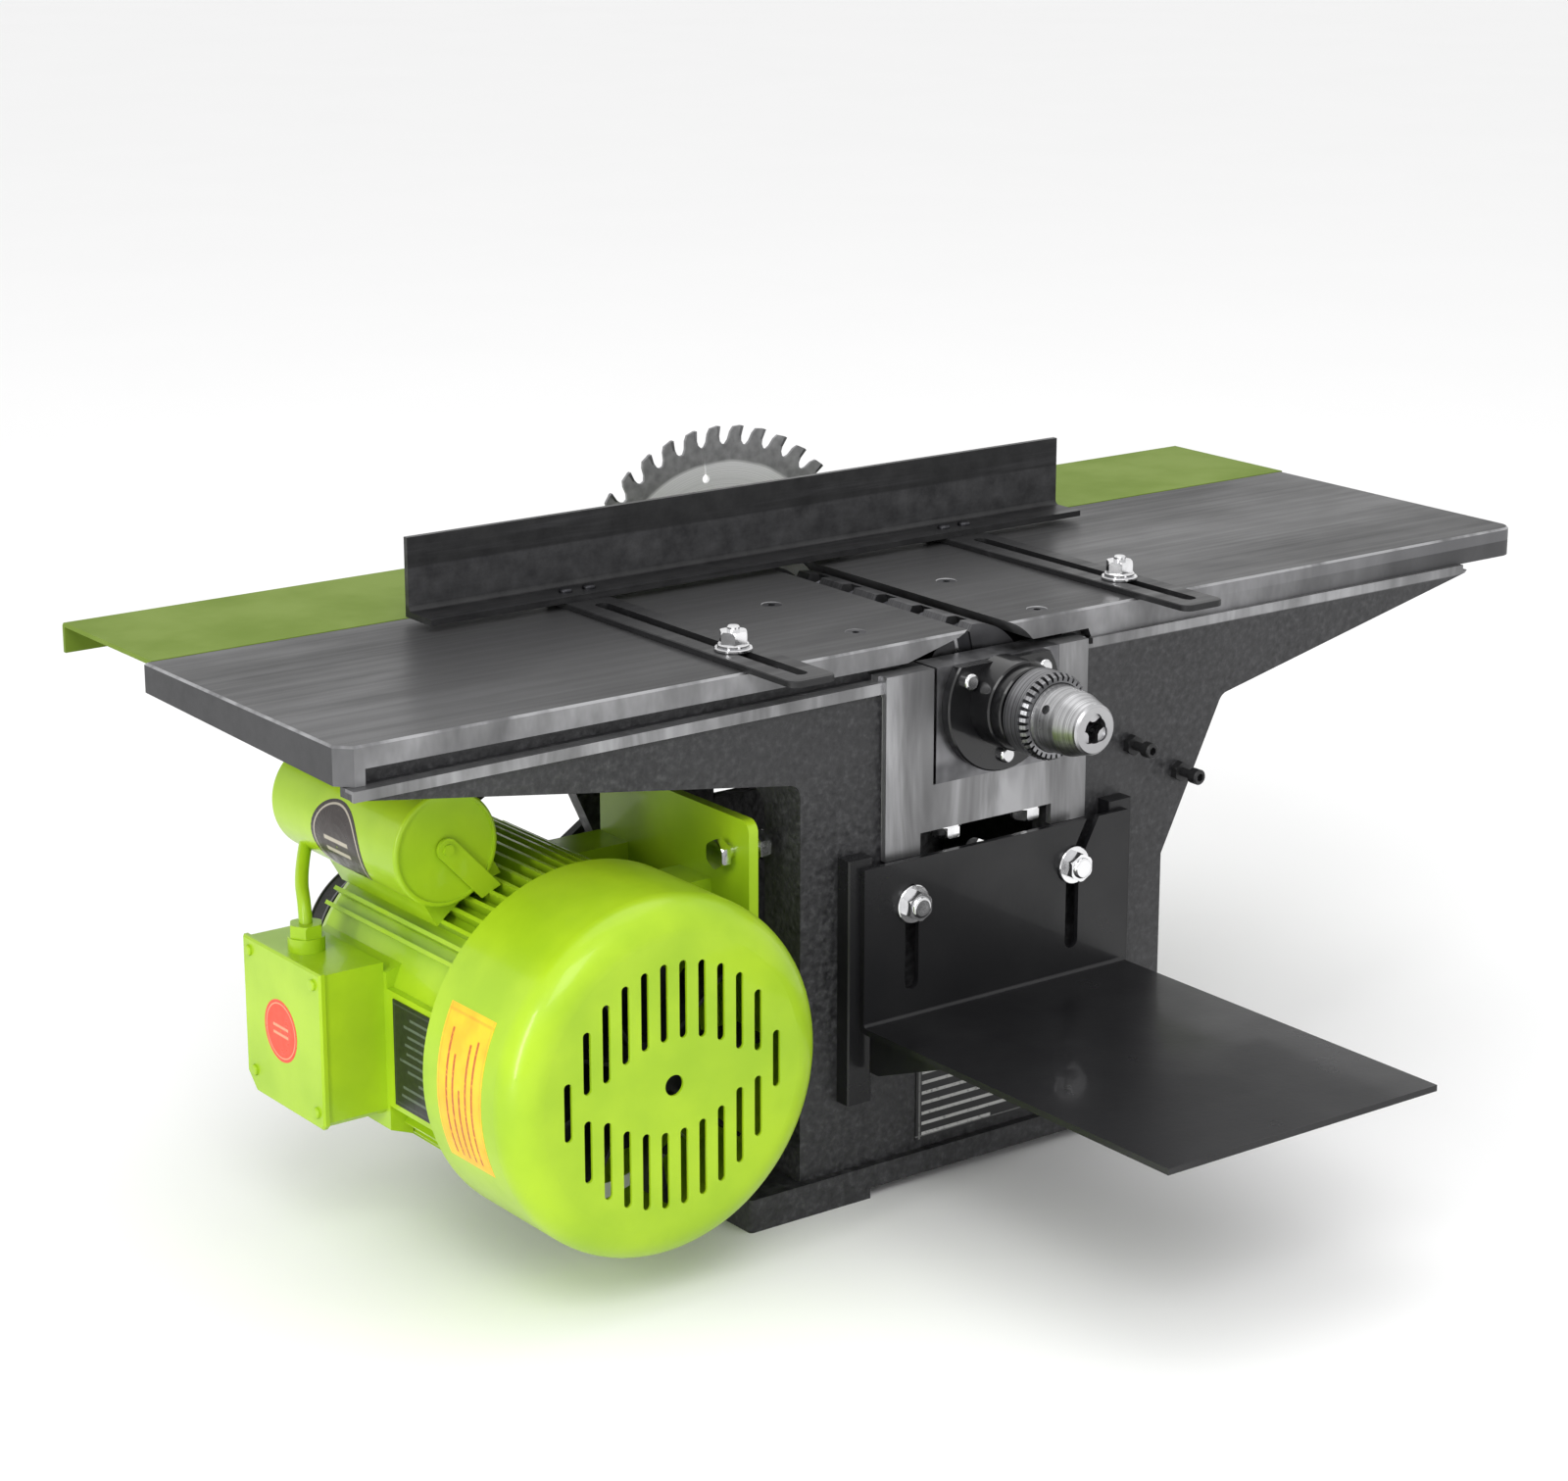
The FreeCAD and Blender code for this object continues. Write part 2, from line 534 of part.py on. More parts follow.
FRONT_BLOCK = (PAD_FACE, -99.0)
REAR_BLOCK = (93.0, WALL_OUT)
FRONT_BEARING = (-117.0, -105.0)
REAR_BEARING = (99.0, 111.0)
COVER_SCREW_R = 35.0
REAR_SCREW_R = 30.0
THREE = (30.0, 150.0, 270.0)


def bearing_block(span, bearing, screw_r):
    y0, y1 = span
    body = block(-BLOCK_X, BLOCK_X, y0, y1, BLOCK_Z, RIM_Z)
    front = y0 < 0
    seat = (y0 - 1, bearing[1]) if front else (bearing[0], y1 + 1)
    tools = [rod_y(0, SPINDLE_Z, BEARING_R, *seat), rod_y(0, SPINDLE_Z, 18.0, y0 - 1, y1 + 1)]
    y_bolt = -110 if front else 104
    tools += [rod_z(x, y_bolt, BLOCK_BOLT_R + RUN, BLOCK_Z - 1, BLOCK_Z + 15) for x in (-33, 33)]
    tools += [rod_y(x, z, 2.55, y0 - 1, y1 + 1) for x, z in on_circle(3, screw_r, 0, SPINDLE_Z, 30)]
    return body.cut(tools)


def block_bolts(y):
    bolts = []
    for x in (-33.0, 33.0):
        head = hexagon(Vec(x, y, 236.2), Vec(0, 0, -1), 17.0, 7.5)
        washer = rod_z(x, y, 10.2, 236.2, 238.0)
        bolts.append(join(head, washer, rod_z(x, y, BLOCK_BOLT_R, 236, BLOCK_Z + 14)))
    return bolts


def front_cover():
    """Flanged cover, flat on top where the flange would pass the bearing block, with a stepped hub."""
    y = PAD_FACE
    spigot = ring_y(0, SPINDLE_Z, BEARING_R - 0.02, 13.5, y - 1, y + 4)
    flange = rod_y(0, SPINDLE_Z, 46.0, y - 7, y)
    flange = bevelled(flange, 1.0, lambda b: b.YMax < y - 6.9)
    flange = flange.common(block(-60, 60, y - 8, y, SPINDLE_Z - 60, RIM_Z - 0.5))
    hub = turned([(y - 1, 29.0), (y - 24, 29.0), (y - 25, 28.0), (y - 25, 26.5), (y - 32, 26.5),
                  (y - 33, 25.5)], 0, SPINDLE_Z)
    tools = [rod_y(0, SPINDLE_Z, 13.5, y - 40, y + 6)]
    tools += [rod_y(x, z, 2.55, y - 13, y + 6) for x, z in on_circle(3, COVER_SCREW_R, 0, SPINDLE_Z, 30)]
    return join(flange, hub, spigot).cut(tools)


def rear_cover():
    y = WALL_OUT
    shape = turned([(y - 4, 13.5), (y - 4, BEARING_R - 0.02), (y, BEARING_R - 0.02), (y, 36.0),
                    (y + 5, 36.0), (y + 6, 35.0), (y + 6, 13.5)], 0, SPINDLE_Z)
    tools = [rod_y(0, SPINDLE_Z, 13.5, y - 6, y + 8)]
    tools += [rod_y(x, z, 2.55, y - 6, y + 8) for x, z in on_circle(3, REAR_SCREW_R, 0, SPINDLE_Z, 30)]
    return shape.cut(tools)


def cover_screws(face, out, circle_r, head_r):
    screws = []
    for x, z in on_circle(3, circle_r, 0, SPINDLE_Z, 30):
        head = button_head(x, z, face, out, head_r, 4.5)
        shaft = rod(Vec(x, face + out, z), Vec(0, -out, 0), 2.5, 20)
        screws.append(join(head, shaft))
    return screws


def bearing_rings(span):
    """Outer ring, inner ring and balls of one deep-groove bearing."""
    y0, y1 = span
    middle = (y0 + y1) / 2
    ball_r, track_r = 3.3, 18.0
    outer = ring_y(0, SPINDLE_Z, BEARING_R - 0.01, 20.3, y0, y1)
    inner = ring_y(0, SPINDLE_Z, 15.7, JOURNAL_R + 0.01, y0, y1)
    groove = Part.makeTorus(track_r, ball_r + 0.3, Vec(0, middle, SPINDLE_Z), Vec(0, 1, 0))
    balls = [Part.makeSphere(ball_r, Vec(x, middle, z)) for x, z in on_circle(9, track_r, 0, SPINDLE_Z)]
    return outer.cut(groove), inner.cut(groove), balls


KNIFE_T = 3.0
SLOT_HALF = 6.6
KNIFE_ANGLES = (104.0, 224.0, 344.0)
HEAD_Y = (-95.0, 89.0)
GIB_SCREW_Y = (-76.0, -40.0, -3.0, 34.0, 70.0)


def at_knife(shape, angle):
    """Turns a shape built with its radius along +Z to a knife's angle from +X towards +Z."""
    turned_shape = shape.copy()
    turned_shape.rotate(Vec(0, 0, 0), Vec(0, 1, 0), 90 - angle)
    turned_shape.translate(Vec(0, 0, SPINDLE_Z))
    return turned_shape


def cutterhead():
    y0, y1 = HEAD_Y
    shoulder = 15.4
    profile = [(-186, 7.9), (-183, 8.9), (-154, 8.9), (-154, JOURNAL_R), (FRONT_BEARING[1], JOURNAL_R),
               (FRONT_BEARING[1], shoulder), (y0, shoulder), (y0, HEAD_R), (y1, HEAD_R), (y1, shoulder),
               (REAR_BEARING[0], shoulder), (REAR_BEARING[0], JOURNAL_R), (192, JOURNAL_R), (192, 10.0),
               (207, 10.0), (208, 9.0)]
    head = turned(profile, 0, SPINDLE_Z)
    tools = []
    for angle in KNIFE_ANGLES:
        tools.append(at_knife(block(-SLOT_HALF, SLOT_HALF, y0 - 1, y1 + 1, 21, CUT_R + 5), angle))
        throat = prism_xz([(SLOT_HALF - 1, 37.0), (SLOT_HALF + 7, 46.0), (SLOT_HALF - 1, 46.0)],
                          y0 - 1, y1 + 1)
        tools.append(at_knife(throat, angle))
        for y in GIB_SCREW_Y:
            tools.append(at_knife(rod_x(y, 33.0, 6.2, SLOT_HALF - 1, SLOT_HALF + 10), angle))
            tools.append(at_knife(block(SLOT_HALF - 1, SLOT_HALF + 10, y - 6.2, y + 6.2, 33, 50), angle))
    return head.cut(tools)


def knife(angle):
    x0 = -SLOT_HALF + 0.02
    x1 = x0 + KNIFE_T
    blade = prism_xz([(x0, 22.0), (x1, 22.0), (x1, CUT_R - 0.15), (x0, CUT_R - 3.2)],
                     HEAD_Y[0] + 1, HEAD_Y[1] - 1)
    return at_knife(blade, angle)


def gib(angle):
    x0 = -SLOT_HALF + KNIFE_T + 0.04
    x1 = SLOT_HALF - 0.02
    bar = prism_xz([(x0, 22.0), (x1, 22.0), (x1, 38.0), (x0 + 2, 42.2), (x0, 42.2)],
                   HEAD_Y[0] + 1, HEAD_Y[1] - 1)
    holes = [rod_x(y, 33.0, 2.55, x0 + 3, x1 + 1) for y in GIB_SCREW_Y]
    return at_knife(bar.cut(holes), angle)


def gib_screws(angle):
    screws = []
    for y in GIB_SCREW_Y:
        shaft = rod_x(y, 33.0, 2.5, 0.5, SLOT_HALF + 3)
        head = hexagon(Vec(SLOT_HALF + 0.3, y, 33.0), Vec(1, 0, 0), 8.0, 6.5)
        screws.append(at_knife(join(shaft, head), angle))
    return screws


def groove_profile(pitch_r):
    """Outline of a two-groove V pulley, as (y, radius) points from front to back."""
    outer, root = pitch_r + 3.0, pitch_r - 8.0
    middle = (PULLEY_Y0 + PULLEY_Y1) / 2
    points = [(PULLEY_Y0, outer)]
    for centre in (middle - GROOVE_PITCH / 2, middle + GROOVE_PITCH / 2):
        points += [(centre - 6.6, outer), (centre - 4.1, root), (centre + 4.1, root), (centre + 6.6, outer)]
    return points + [(PULLEY_Y1, outer)]


def pulley(x, z, pitch_r, bore_r):
    wheel = turned(groove_profile(pitch_r), x, z)
    web_r = pitch_r - 14
    tools = [rod_y(x, z, bore_r, PULLEY_Y0 - 1, PULLEY_Y1 + 1)]
    tools.append(ring_y(x, z, web_r, bore_r + 7, PULLEY_Y1 - 9, PULLEY_Y1 + 1))
    return wheel.cut(tools)


def belt(middle_y):
    """One V-belt: two straight runs and two arcs of the same wedge section."""
    ax, az, ar = 0.0, SPINDLE_Z, SPINDLE_PULLEY_R
    bx, bz, br = MOTOR_X, MOTOR_Z, MOTOR_PULLEY_R
    distance = math.hypot(bx - ax, bz - az)
    along = math.atan2(bz - az, bx - ax)
    lean = math.acos((ar - br) / distance)  # from the centre line to the tangent points
    top, foot, thick = 5.6, 3.6, 8.0
    low, high = -6.0, 2.0  # from the pitch line

    def section(radius):
        return [(middle_y - foot, radius + low), (middle_y + foot, radius + low),
                (middle_y + top, radius + high), (middle_y - top, radius + high)]

    def arc(x, z, radius, start, sweep):
        points = [Vec(r, y, 0) for y, r in section(radius)]
        face = Part.Face(Part.makePolygon(points + [points[0]]))
        solid = face.revolve(Vec(0, 0, 0), Vec(0, 1, 0), math.degrees(sweep))
        solid.rotate(Vec(0, 0, 0), Vec(0, 1, 0), -math.degrees(start + sweep))
        solid.translate(Vec(x, 0, z))
        return solid

    pieces = []
    for side in (1, -1):
        a = along + side * lean
        out = Vec(math.cos(a), 0, math.sin(a))
        start = Vec(ax, 0, az)
        run = Vec(bx, 0, bz) + out * br - start - out * ar
        points = [start + out * r + Vec(0, y, 0) for y, r in section(ar)]
        pieces.append(prism(points, run))
    pieces.append(arc(ax, az, ar, along + lean, 2 * math.pi - 2 * lean))
    pieces.append(arc(bx, bz, br, along - lean, 2 * lean))
    return join(*pieces)


# ---- saw blade ---------------------------------------------------------------------------------


def tooth(angle):
    """Points (x, z) of one tooth and its gullet, the cutting face looking clockwise seen from the front."""
    pitch = 2 * math.pi / TEETH
    shape = ((0.00, 0.0), (0.30, 1.0), (0.42, 4.5), (0.50, 10.0), (0.62, 13.0), (0.78, 13.0),
             (0.90, 10.5), (0.95, 5.0))
    for share, depth in shape:
        a = angle + pitch * share
        yield (BLADE_R - depth) * math.cos(a), (BLADE_R - depth) * math.sin(a)


def saw_blade():
    pitch = 2 * math.pi / TEETH
    outline = []
    for i in range(TEETH):
        outline += list(tooth(pitch * i))
    body = prism_xz(outline, BLADE_Y, BLADE_Y + BLADE_T)
    body.translate(Vec(0, 0, SPINDLE_Z))
    tools = [rod_y(0, SPINDLE_Z, JOURNAL_R + 0.02, BLADE_Y - 1, BLADE_Y + BLADE_T + 1)]
    for i in range(4):
        a = 2 * math.pi * (i * 10 + 0.7) / TEETH
        out = Vec(math.cos(a), 0, math.sin(a))
        across = Vec(-out.z, 0, out.x)
        centre = Vec(0, BLADE_Y - 1, SPINDLE_Z)
        inner, outer = centre + out * 92, centre + out * 116
        points = [inner - across * 0.7, inner + across * 0.7, outer + across * 0.7, outer - across * 0.7]
        tools.append(prism(points, Vec(0, BLADE_T + 2, 0)))
        tools.append(rod(inner, Vec(0, 1, 0), 3.0, BLADE_T + 2))
    return body.cut(tools + blade_tips())


def blade_tips():
    """Carbide tips, a little wider than the blade, on the leading face of each tooth."""
    pitch = 2 * math.pi / TEETH
    tips = []
    side = 0.4
    for i in range(TEETH):
        a = pitch * i
        out = Vec(math.cos(a), 0, math.sin(a))
        lead = Vec(out.z, 0, -out.x)
        tip = Vec(0, BLADE_Y - side, SPINDLE_Z) + out * BLADE_R
        points = [tip, tip + lead * 2.0 - out * 0.2, tip + lead * 1.0 - out * 7.0, tip - out * 7.0 - lead * 0.4]
        tips.append(prism([p + lead * 0.03 for p in points], Vec(0, BLADE_T + 2 * side, 0)))
    return tips


def blade_flange(y0, y1, radius):
    disc = ring_y(0, SPINDLE_Z, radius, JOURNAL_R + 0.02, y0, y1)
    return bevelled(disc, 1.0, lambda b: b.YLength < 0.01 and b.XLength > 2 * radius - 0.1)


def arbor_nut():
    seat = BLADE_Y + BLADE_T + 6
    nut = hexagon(Vec(0, seat, SPINDLE_Z), Vec(0, 1, 0), 30.0, 13.0)
    return nut.cut([rod_y(0, SPINDLE_Z, JOURNAL_R + 0.02, seat - 1, 192.02),
                    rod_y(0, SPINDLE_Z, 10.02, seat - 1, seat + 20)])


# ---- drill chuck -------------------------------------------------------------------------------


def jaw_line(angle):
    """A jaw's axis: its point on the nose plane and its direction, backwards and outwards."""
    a = math.radians(angle)
    out = Vec(math.cos(a), 0, math.sin(a))
    start = Vec(0, CHUCK_NOSE, SPINDLE_Z) + out * JAW_AXIS_R0
    direction = Vec(0, math.cos(JAW_ANGLE), 0) + out * math.sin(JAW_ANGLE)
    return out, start, direction


def chuck_body():
    nose, back = CHUCK_NOSE, CHUCK_BACK
    profile = [(nose, 14.5), (nose + 1.5, 16.0), (nose + 3, 16.2), (nose + 17, 20.5), (nose + 34, 21.5),
               (nose + 36, 22.0), (back + 1, 22.0), (back + 1, 24.0), (back + 2.8, 24.0), (back + 2.8, 12.0)]
    body = turned(profile, 0, SPINDLE_Z)
    tools = [rod_y(0, SPINDLE_Z, 8.4, nose - 1, nose + 26)]
    tools.append(rod_y(0, SPINDLE_Z, 8.92, nose + 28, back + 5))
    for angle in JAWS:
        out, start, direction = jaw_line(angle)
        tools.append(rod(start - direction * 6, direction, JAW_R + CLEAR, 50))
        key = math.radians(angle + 60)
        away = Vec(math.cos(key), 0, math.sin(key))
        tools.append(rod(Vec(0, nose + 26, SPINDLE_Z) + away * 14, away, 3.0, 12))
    return body.cut(tools)


JAWS = (90.0, 210.0, 330.0)
SLEEVE_TEETH = 36


def chuck_sleeve():
    y0, y1 = SLEEVE_FRONT, CHUCK_BACK
    ring = turned([(y0, 22.4), (y0, 26.0), (y0 + 3.5, 28.0), (y1 - 1, 28.0), (y1, 27.0), (y1, 22.4)],
                  0, SPINDLE_Z)
    ring = ring.cut(rod_y(0, SPINDLE_Z, 22.4, y0 - 1, y1 + 1))
    notches = []
    for i in range(SLEEVE_TEETH):
        notch = prism_xz([(-0.6, 23.4), (0.6, 23.4), (1.35, 29.0), (-1.35, 29.0)], y0 - 1, y0 + 5)
        notch.rotate(Vec(0, 0, 0), Vec(0, 1, 0), 360.0 * i / SLEEVE_TEETH)
        notch.translate(Vec(0, 0, SPINDLE_Z))
        notches.append(notch)
    return ring.cut(notches)


def jaw(angle):
    """Round blank on a slanted axis, with a wedge face whose edge grips parallel to the chuck's axis."""
    out, start, direction = jaw_line(angle)
    side = out.cross(Vec(0, 1, 0))
    front, back = CHUCK_NOSE + 2, CHUCK_NOSE + 28
    blank = rod(start - direction * 10, direction, JAW_R, 60)
    apex = JAW_OPEN_R - 0.65
    reach = 16.0
    half = math.tan(math.radians(59.5))
    base = Vec(0, front, SPINDLE_Z)
    points = [base + out * JAW_OPEN_R - side * (half * (JAW_OPEN_R - apex)),
              base + out * JAW_OPEN_R + side * (half * (JAW_OPEN_R - apex)),
              base + out * reach + side * (half * (reach - apex)),
              base + out * reach - side * (half * (reach - apex))]
    return blank.common(prism(points, Vec(0, back - front, 0)))


# ---- mortising table ---------------------------------------------------------------------------


def mortise_table():
    t = 4.0
    y0 = MORTISE_FACE
    plate = block(MORTISE_X0, MORTISE_X1, y0, y0 + t, MORTISE_Z - t, MORTISE_TOP)
    shelf = block(MORTISE_X0, MORTISE_X1, y0 - MORTISE_DEPTH, y0 + t, MORTISE_Z - t, MORTISE_Z)
    table = join(plate, shelf)
    table = rounded(table, 5.0, lambda b: b.XLength > 200 and abs(b.YMin - y0 - t) < 0.1
                    and abs(b.ZMin - MORTISE_Z + t) < 0.1)
    table = rounded(table, 2.5, lambda b: b.XLength > 200 and abs(b.YMin - y0) < 0.1
                    and abs(b.ZMin - MORTISE_Z) < 0.1)
    gusset = [(y0 + t - 5, MORTISE_Z - t), (y0 + t - 5, 92.0), (y0 - 10, 92.0), (y0 - 78, MORTISE_Z - t)]
    ribs = [prism_yz(gusset, x, x + t) for x in (MORTISE_X0 + 4, MORTISE_X1 - 8)]
    left, right = MORTISE_BOLTS
    hook_x = right + 17
    hook = prism_xz([(right - 5.4, 196.0), (right + 5.4, 196.0), (hook_x + 5.4, MORTISE_TOP + 1),
                     (hook_x - 5.4, MORTISE_TOP + 1)], y0 - 1, y0 + t + 1)
    tools = [slot_y(left, 10.8, 140, 210, y0 - 1, y0 + t + 1)]
    tools.append(slot_y(right, 10.8, 140, 210, y0 - 1, y0 + t + 1))
    return join(table, *ribs).cut(tools + [hook])


RAILS = ((-123.0, -104.0), (92.0, 111.0))


def guide_rail(x0, x1):
    rail = block(x0, x1, MORTISE_FACE + 4.3, -WALL_OUT, 70, 232)
    return bevelled(rail, 1.0, lambda b: b.ZLength > 100 and b.YMax < -WALL_OUT - 1)


def mortise_bolt(x):
    face = MORTISE_FACE - 2.2
    head = hexagon(Vec(x, face, MORTISE_BOLT_Z), Vec(0, -1, 0), 17.0, 7.0)
    dome = rod_y(x, MORTISE_BOLT_Z, 7.0, face - 9.0, face - 6)
    dome = rounded(dome, 1.8, lambda b: b.YMax < face - 8.9)
    return join(head, dome, rod_y(x, MORTISE_BOLT_Z, 5.0, face - 1, -WALL_IN))


def mortise_washer(x):
    y = MORTISE_FACE - 0.1
    washer = ring_y(x, MORTISE_BOLT_Z, 12.5, 5.05, y - 2.1, y)
    return bevelled(washer, 0.5, lambda b: b.YMax < y - 2 and b.XLength > 24)


def mortise_spacer(x):
    return ring_y(x, MORTISE_BOLT_Z, 8.5, 5.05, MORTISE_FACE + 4.1, -WALL_OUT)


# ---- motor -------------------------------------------------------------------------------------

COVER_Y = (-186.0, -88.0)
COVER_WALL = 1.8
BARREL_Y = (-100.0, 78.0)
REAR_SHIELD_Y = (78.0, 97.0)
STATOR_Y = (-52.0, 42.0)


def in_motor(shape):
    moved = shape.copy()
    moved.translate(Vec(MOTOR_X, 0, MOTOR_Z))
    return moved


def fan_cover():
    y0, y1 = COVER_Y
    edge = 21.0
    wall = COVER_WALL

    def bell(radius, front, back, corner):
        solid = rod_y(0, 0, radius, front, back)
        return rounded(solid, corner, lambda b: b.YLength < 0.01 and b.YMin < front + 0.1)

    shell = bell(COVER_R, y0, y1, edge).cut(bell(COVER_R - wall, y0 + wall, y1 + 1, edge - wall))
    pitch, width, field_r = 13.5, 5.4, 76.5
    tools = [rod_y(0, 0, 6.5, y0 - 1, y0 + 6)]
    for column in range(6):
        x = pitch * (column + 0.5)
        high = math.sqrt(field_r**2 - x**2)
        low = max(high - 48, 8.0)
        for side in (-1, 1):
            if column < 5:
                tools.append(slot_y(side * x, width, low, high, y0 - 1, y0 + 6))
                tools.append(slot_y(side * x, width, -high, -low, y0 - 1, y0 + 6))
            else:
                tools.append(slot_y(side * x, width, -18, 18, y0 - 1, y0 + 6))
    return in_motor(shell.cut(tools))


FIN_ANGLES = [a for a in range(0, 360, 6) if not (324 <= a or a <= 36 or 150 <= a <= 210)]


def motor_frame():
    y0, y1 = BARREL_Y
    barrel = ring_y(0, 0, BARREL_R, 84.0, y0, y1)
    fins = []
    for angle in FIN_ANGLES:
        fin = block(BARREL_R - 2, BARREL_R + 9, y0 + 14, y1 - 2, -1.3, 1.3)
        fin.rotate(Vec(0, 0, 0), Vec(0, 1, 0), -angle)
        fins.append(fin)
    left = MOTOR_X - TERMINAL_X1
    saddle = prism_xz([(-left, -62.0), (-left, 40.0), (-BARREL_R + 12, 44.0), (-BARREL_R + 16, -68.0)],
                      -14, y1 - 1)
    nose = block(-left, -BARREL_R + 12, y0 + 14, -14, -46, 30)
    reach = PLATE_X - MOTOR_X
    feet = [block(60, reach, y, y + 34, -74, 74) for y in (-66.0, 26.0)]
    body = join(barrel, *fins, saddle, nose, *feet)
    body = body.cut([rod_y(0, 0, 84.0, y0 - 1, y1 + 1)])
    holes = [rod_x(y + 17, z, 4.1, reach - 20, reach + 1) for y in (-66.0, 26.0) for z in (-56.0, 56.0)]
    return in_motor(body.cut(holes))


def front_shield():
    y0 = BARREL_Y[0]
    shield = turned([(y0 - 8, 20.0), (y0 - 8, 88.0), (y0 - 6, 90.0), (y0, BARREL_R), (y0, 83.9),
                     (y0 + 4, 83.9), (y0 + 4, 30.0), (y0 + 14, 30.0), (y0 + 14, 20.0)], 0, 0)
    lugs = []
    for angle in (45, 135, 225, 315):
        lug = block(86, COVER_R + 4, y0 - 6, y0 + 6, -7, 7)
        lug.rotate(Vec(0, 0, 0), Vec(0, 1, 0), angle)
        lugs.append(lug.common(ring_y(0, 0, COVER_R - COVER_WALL - 0.02, BARREL_R, y0 - 10, y0 + 10)))
    shield = join(shield, *lugs)
    tools = [rod_y(0, 0, 14.0, y0 - 12, y0 + 20), rod_y(0, 0, BEARING_R, y0, y0 + 20)]
    return in_motor(shield.cut(tools))


def rear_shield():
    y0, y1 = REAR_SHIELD_Y
    shield = turned([(y0 - 14, 20.0), (y0 - 14, 30.0), (y0 - 4, 30.0), (y0 - 4, 83.9), (y0, 83.9),
                     (y0, BARREL_R), (y0 + 6, BARREL_R - 2), (y1 - 6, 60.0), (y1, 52.0), (y1, 20.0)], 0, 0)
    tools = [rod_y(0, 0, 14.0, y0 - 20, y1 + 4), rod_y(0, 0, BEARING_R, y0 - 20, y0)]
    return in_motor(shield.cut(tools))


def motor_bearing(y0):
    return in_motor(ring_y(0, 0, BEARING_R - 0.02, JOURNAL_R + RUN, y0, y0 + BEARING_W))


def stator_core():
    core = ring_y(0, 0, 83.9, 53.0, *STATOR_Y)
    slots = [rod_y(x, z, 4.0, STATOR_Y[0] - 1, STATOR_Y[1] + 1) for x, z in on_circle(24, 60.0, 0, 0)]
    return in_motor(core.cut(slots))


def winding(y0, y1):
    coil = turned([(y0, 56.0), (y0, 78.0), (y1, 78.0), (y1, 56.0)], 0, 0)
    coil = coil.cut(rod_y(0, 0, 56.0, y0 - 1, y1 + 1))
    return in_motor(rounded(coil, 5.0, lambda b: b.YLength < 0.01))


def rotor_shaft():
    shaft = turned([(-166, 10.0), (-112, 10.0), (-112, JOURNAL_R), (-86, JOURNAL_R), (-86, 16.0),
                    (64, 16.0), (64, JOURNAL_R), (98, JOURNAL_R), (98, 12.0), (157, 12.0)], 0, 0)
    return in_motor(shaft)


def rotor_core():
    return in_motor(ring_y(0, 0, 52.3, 16.02, *STATOR_Y))


def cooling_fan():
    disc = ring_y(0, 0, 60.0, 10.02, -128, -124)
    hub = ring_y(0, 0, 20.0, 10.02, -160, -120)
    blades = []
    for i in range(9):
        blade = block(18, 90, -156, -124, -1.2, 1.2)
        blade.rotate(Vec(0, 0, 0), Vec(0, 1, 0), 40 * i)
        blades.append(blade)
    return in_motor(join(disc, hub, *blades))


def motor_plate():
    x0, x1 = PLATE_X, PLATE_X + PLATE_T
    plate = block(x0, x1, -106, 58, 42, 264)
    plate = rounded(plate, 8.0, lambda b: b.XLength > 6 and b.YLength < 0.01 and b.ZLength < 0.01)
    web = prism_xz([(x1 - 1, HINGE_Z - 9.5), (HINGE_X, HINGE_Z - 9.0), (HINGE_X, HINGE_Z + 9.0),
                    (x1 - 1, HINGE_Z + 18)], -79, 61)
    knuckle = rod_y(HINGE_X, HINGE_Z, 9.0, -79, 61)
    tools = [rod_y(HINGE_X, HINGE_Z, HINGE_R + RUN, -80, 62)]
    tools += [rod_x(y + 17, MOTOR_Z + z, 4.1, x0 - 1, x1 + 1) for y in (-66.0, 26.0) for z in (-56.0, 56.0)]
    tools.append(rod_x(TENSION_Y, TENSION_Z, 5.05, x0 - 1, x1 + 1))
    gap = block(x1 + 0.01, HINGE_X + 12, -30, 10, HINGE_Z - 30, HINGE_Z + 20)
    return join(plate, web, knuckle).cut(tools + [gap])


TENSION_Y = -86.0
TENSION_Z = 240.5


def tension_screw():
    """Screw through the motor plate; its tip bears on the casting when the belts are slackened."""
    tip = PEDESTAL_L - 4
    shaft = rod_x(TENSION_Y, TENSION_Z, 5.0, PLATE_X - 12, tip)
    nut = hexagon(Vec(tip - 11, TENSION_Y, TENSION_Z), Vec(1, 0, 0), 17.0, 8.0)
    head = hexagon(Vec(PLATE_X - 5.5, TENSION_Y, TENSION_Z), Vec(-1, 0, 0), 17.0, 6.5)
    return join(shaft, nut, head)


def hinge_rod():
    shaft = rod_y(HINGE_X, HINGE_Z, HINGE_R, -112, 94)
    shaft = bevelled(shaft, 1.0, lambda b: b.YLength < 0.01 and b.XLength > 10)
    washers = [ring_y(HINGE_X, HINGE_Z, 9.6, HINGE_R, y, y + 2) for y in (-100, 80)]
    nuts = [hexagon(Vec(HINGE_X, -100, HINGE_Z), Vec(0, -1, 0), 18.0, 9.0),
            hexagon(Vec(HINGE_X, 82, HINGE_Z), Vec(0, 1, 0), 18.0, 9.0)]
    bore = rod_y(HINGE_X, HINGE_Z, HINGE_R, -140, 120)
    return [shaft] + washers + [n.cut(bore) for n in nuts]


def foot_bolts():
    bolts = []
    for y in (-66.0, 26.0):
        for z in (-56.0, 56.0):
            head = hexagon(Vec(PLATE_X + PLATE_T, y + 17, MOTOR_Z + z), Vec(1, 0, 0), 13.0, 5.5)
            shaft = rod_x(y + 17, MOTOR_Z + z, 4.0, PLATE_X - 18, PLATE_X + PLATE_T + 1)
            bolts.append(join(head, shaft))
    return bolts


TERMINAL_X0 = -430.0
TERMINAL_X1 = -389.0
TERMINAL_Y = (-11.0, 82.0)
TERMINAL_Z = (92.0, 190.0)


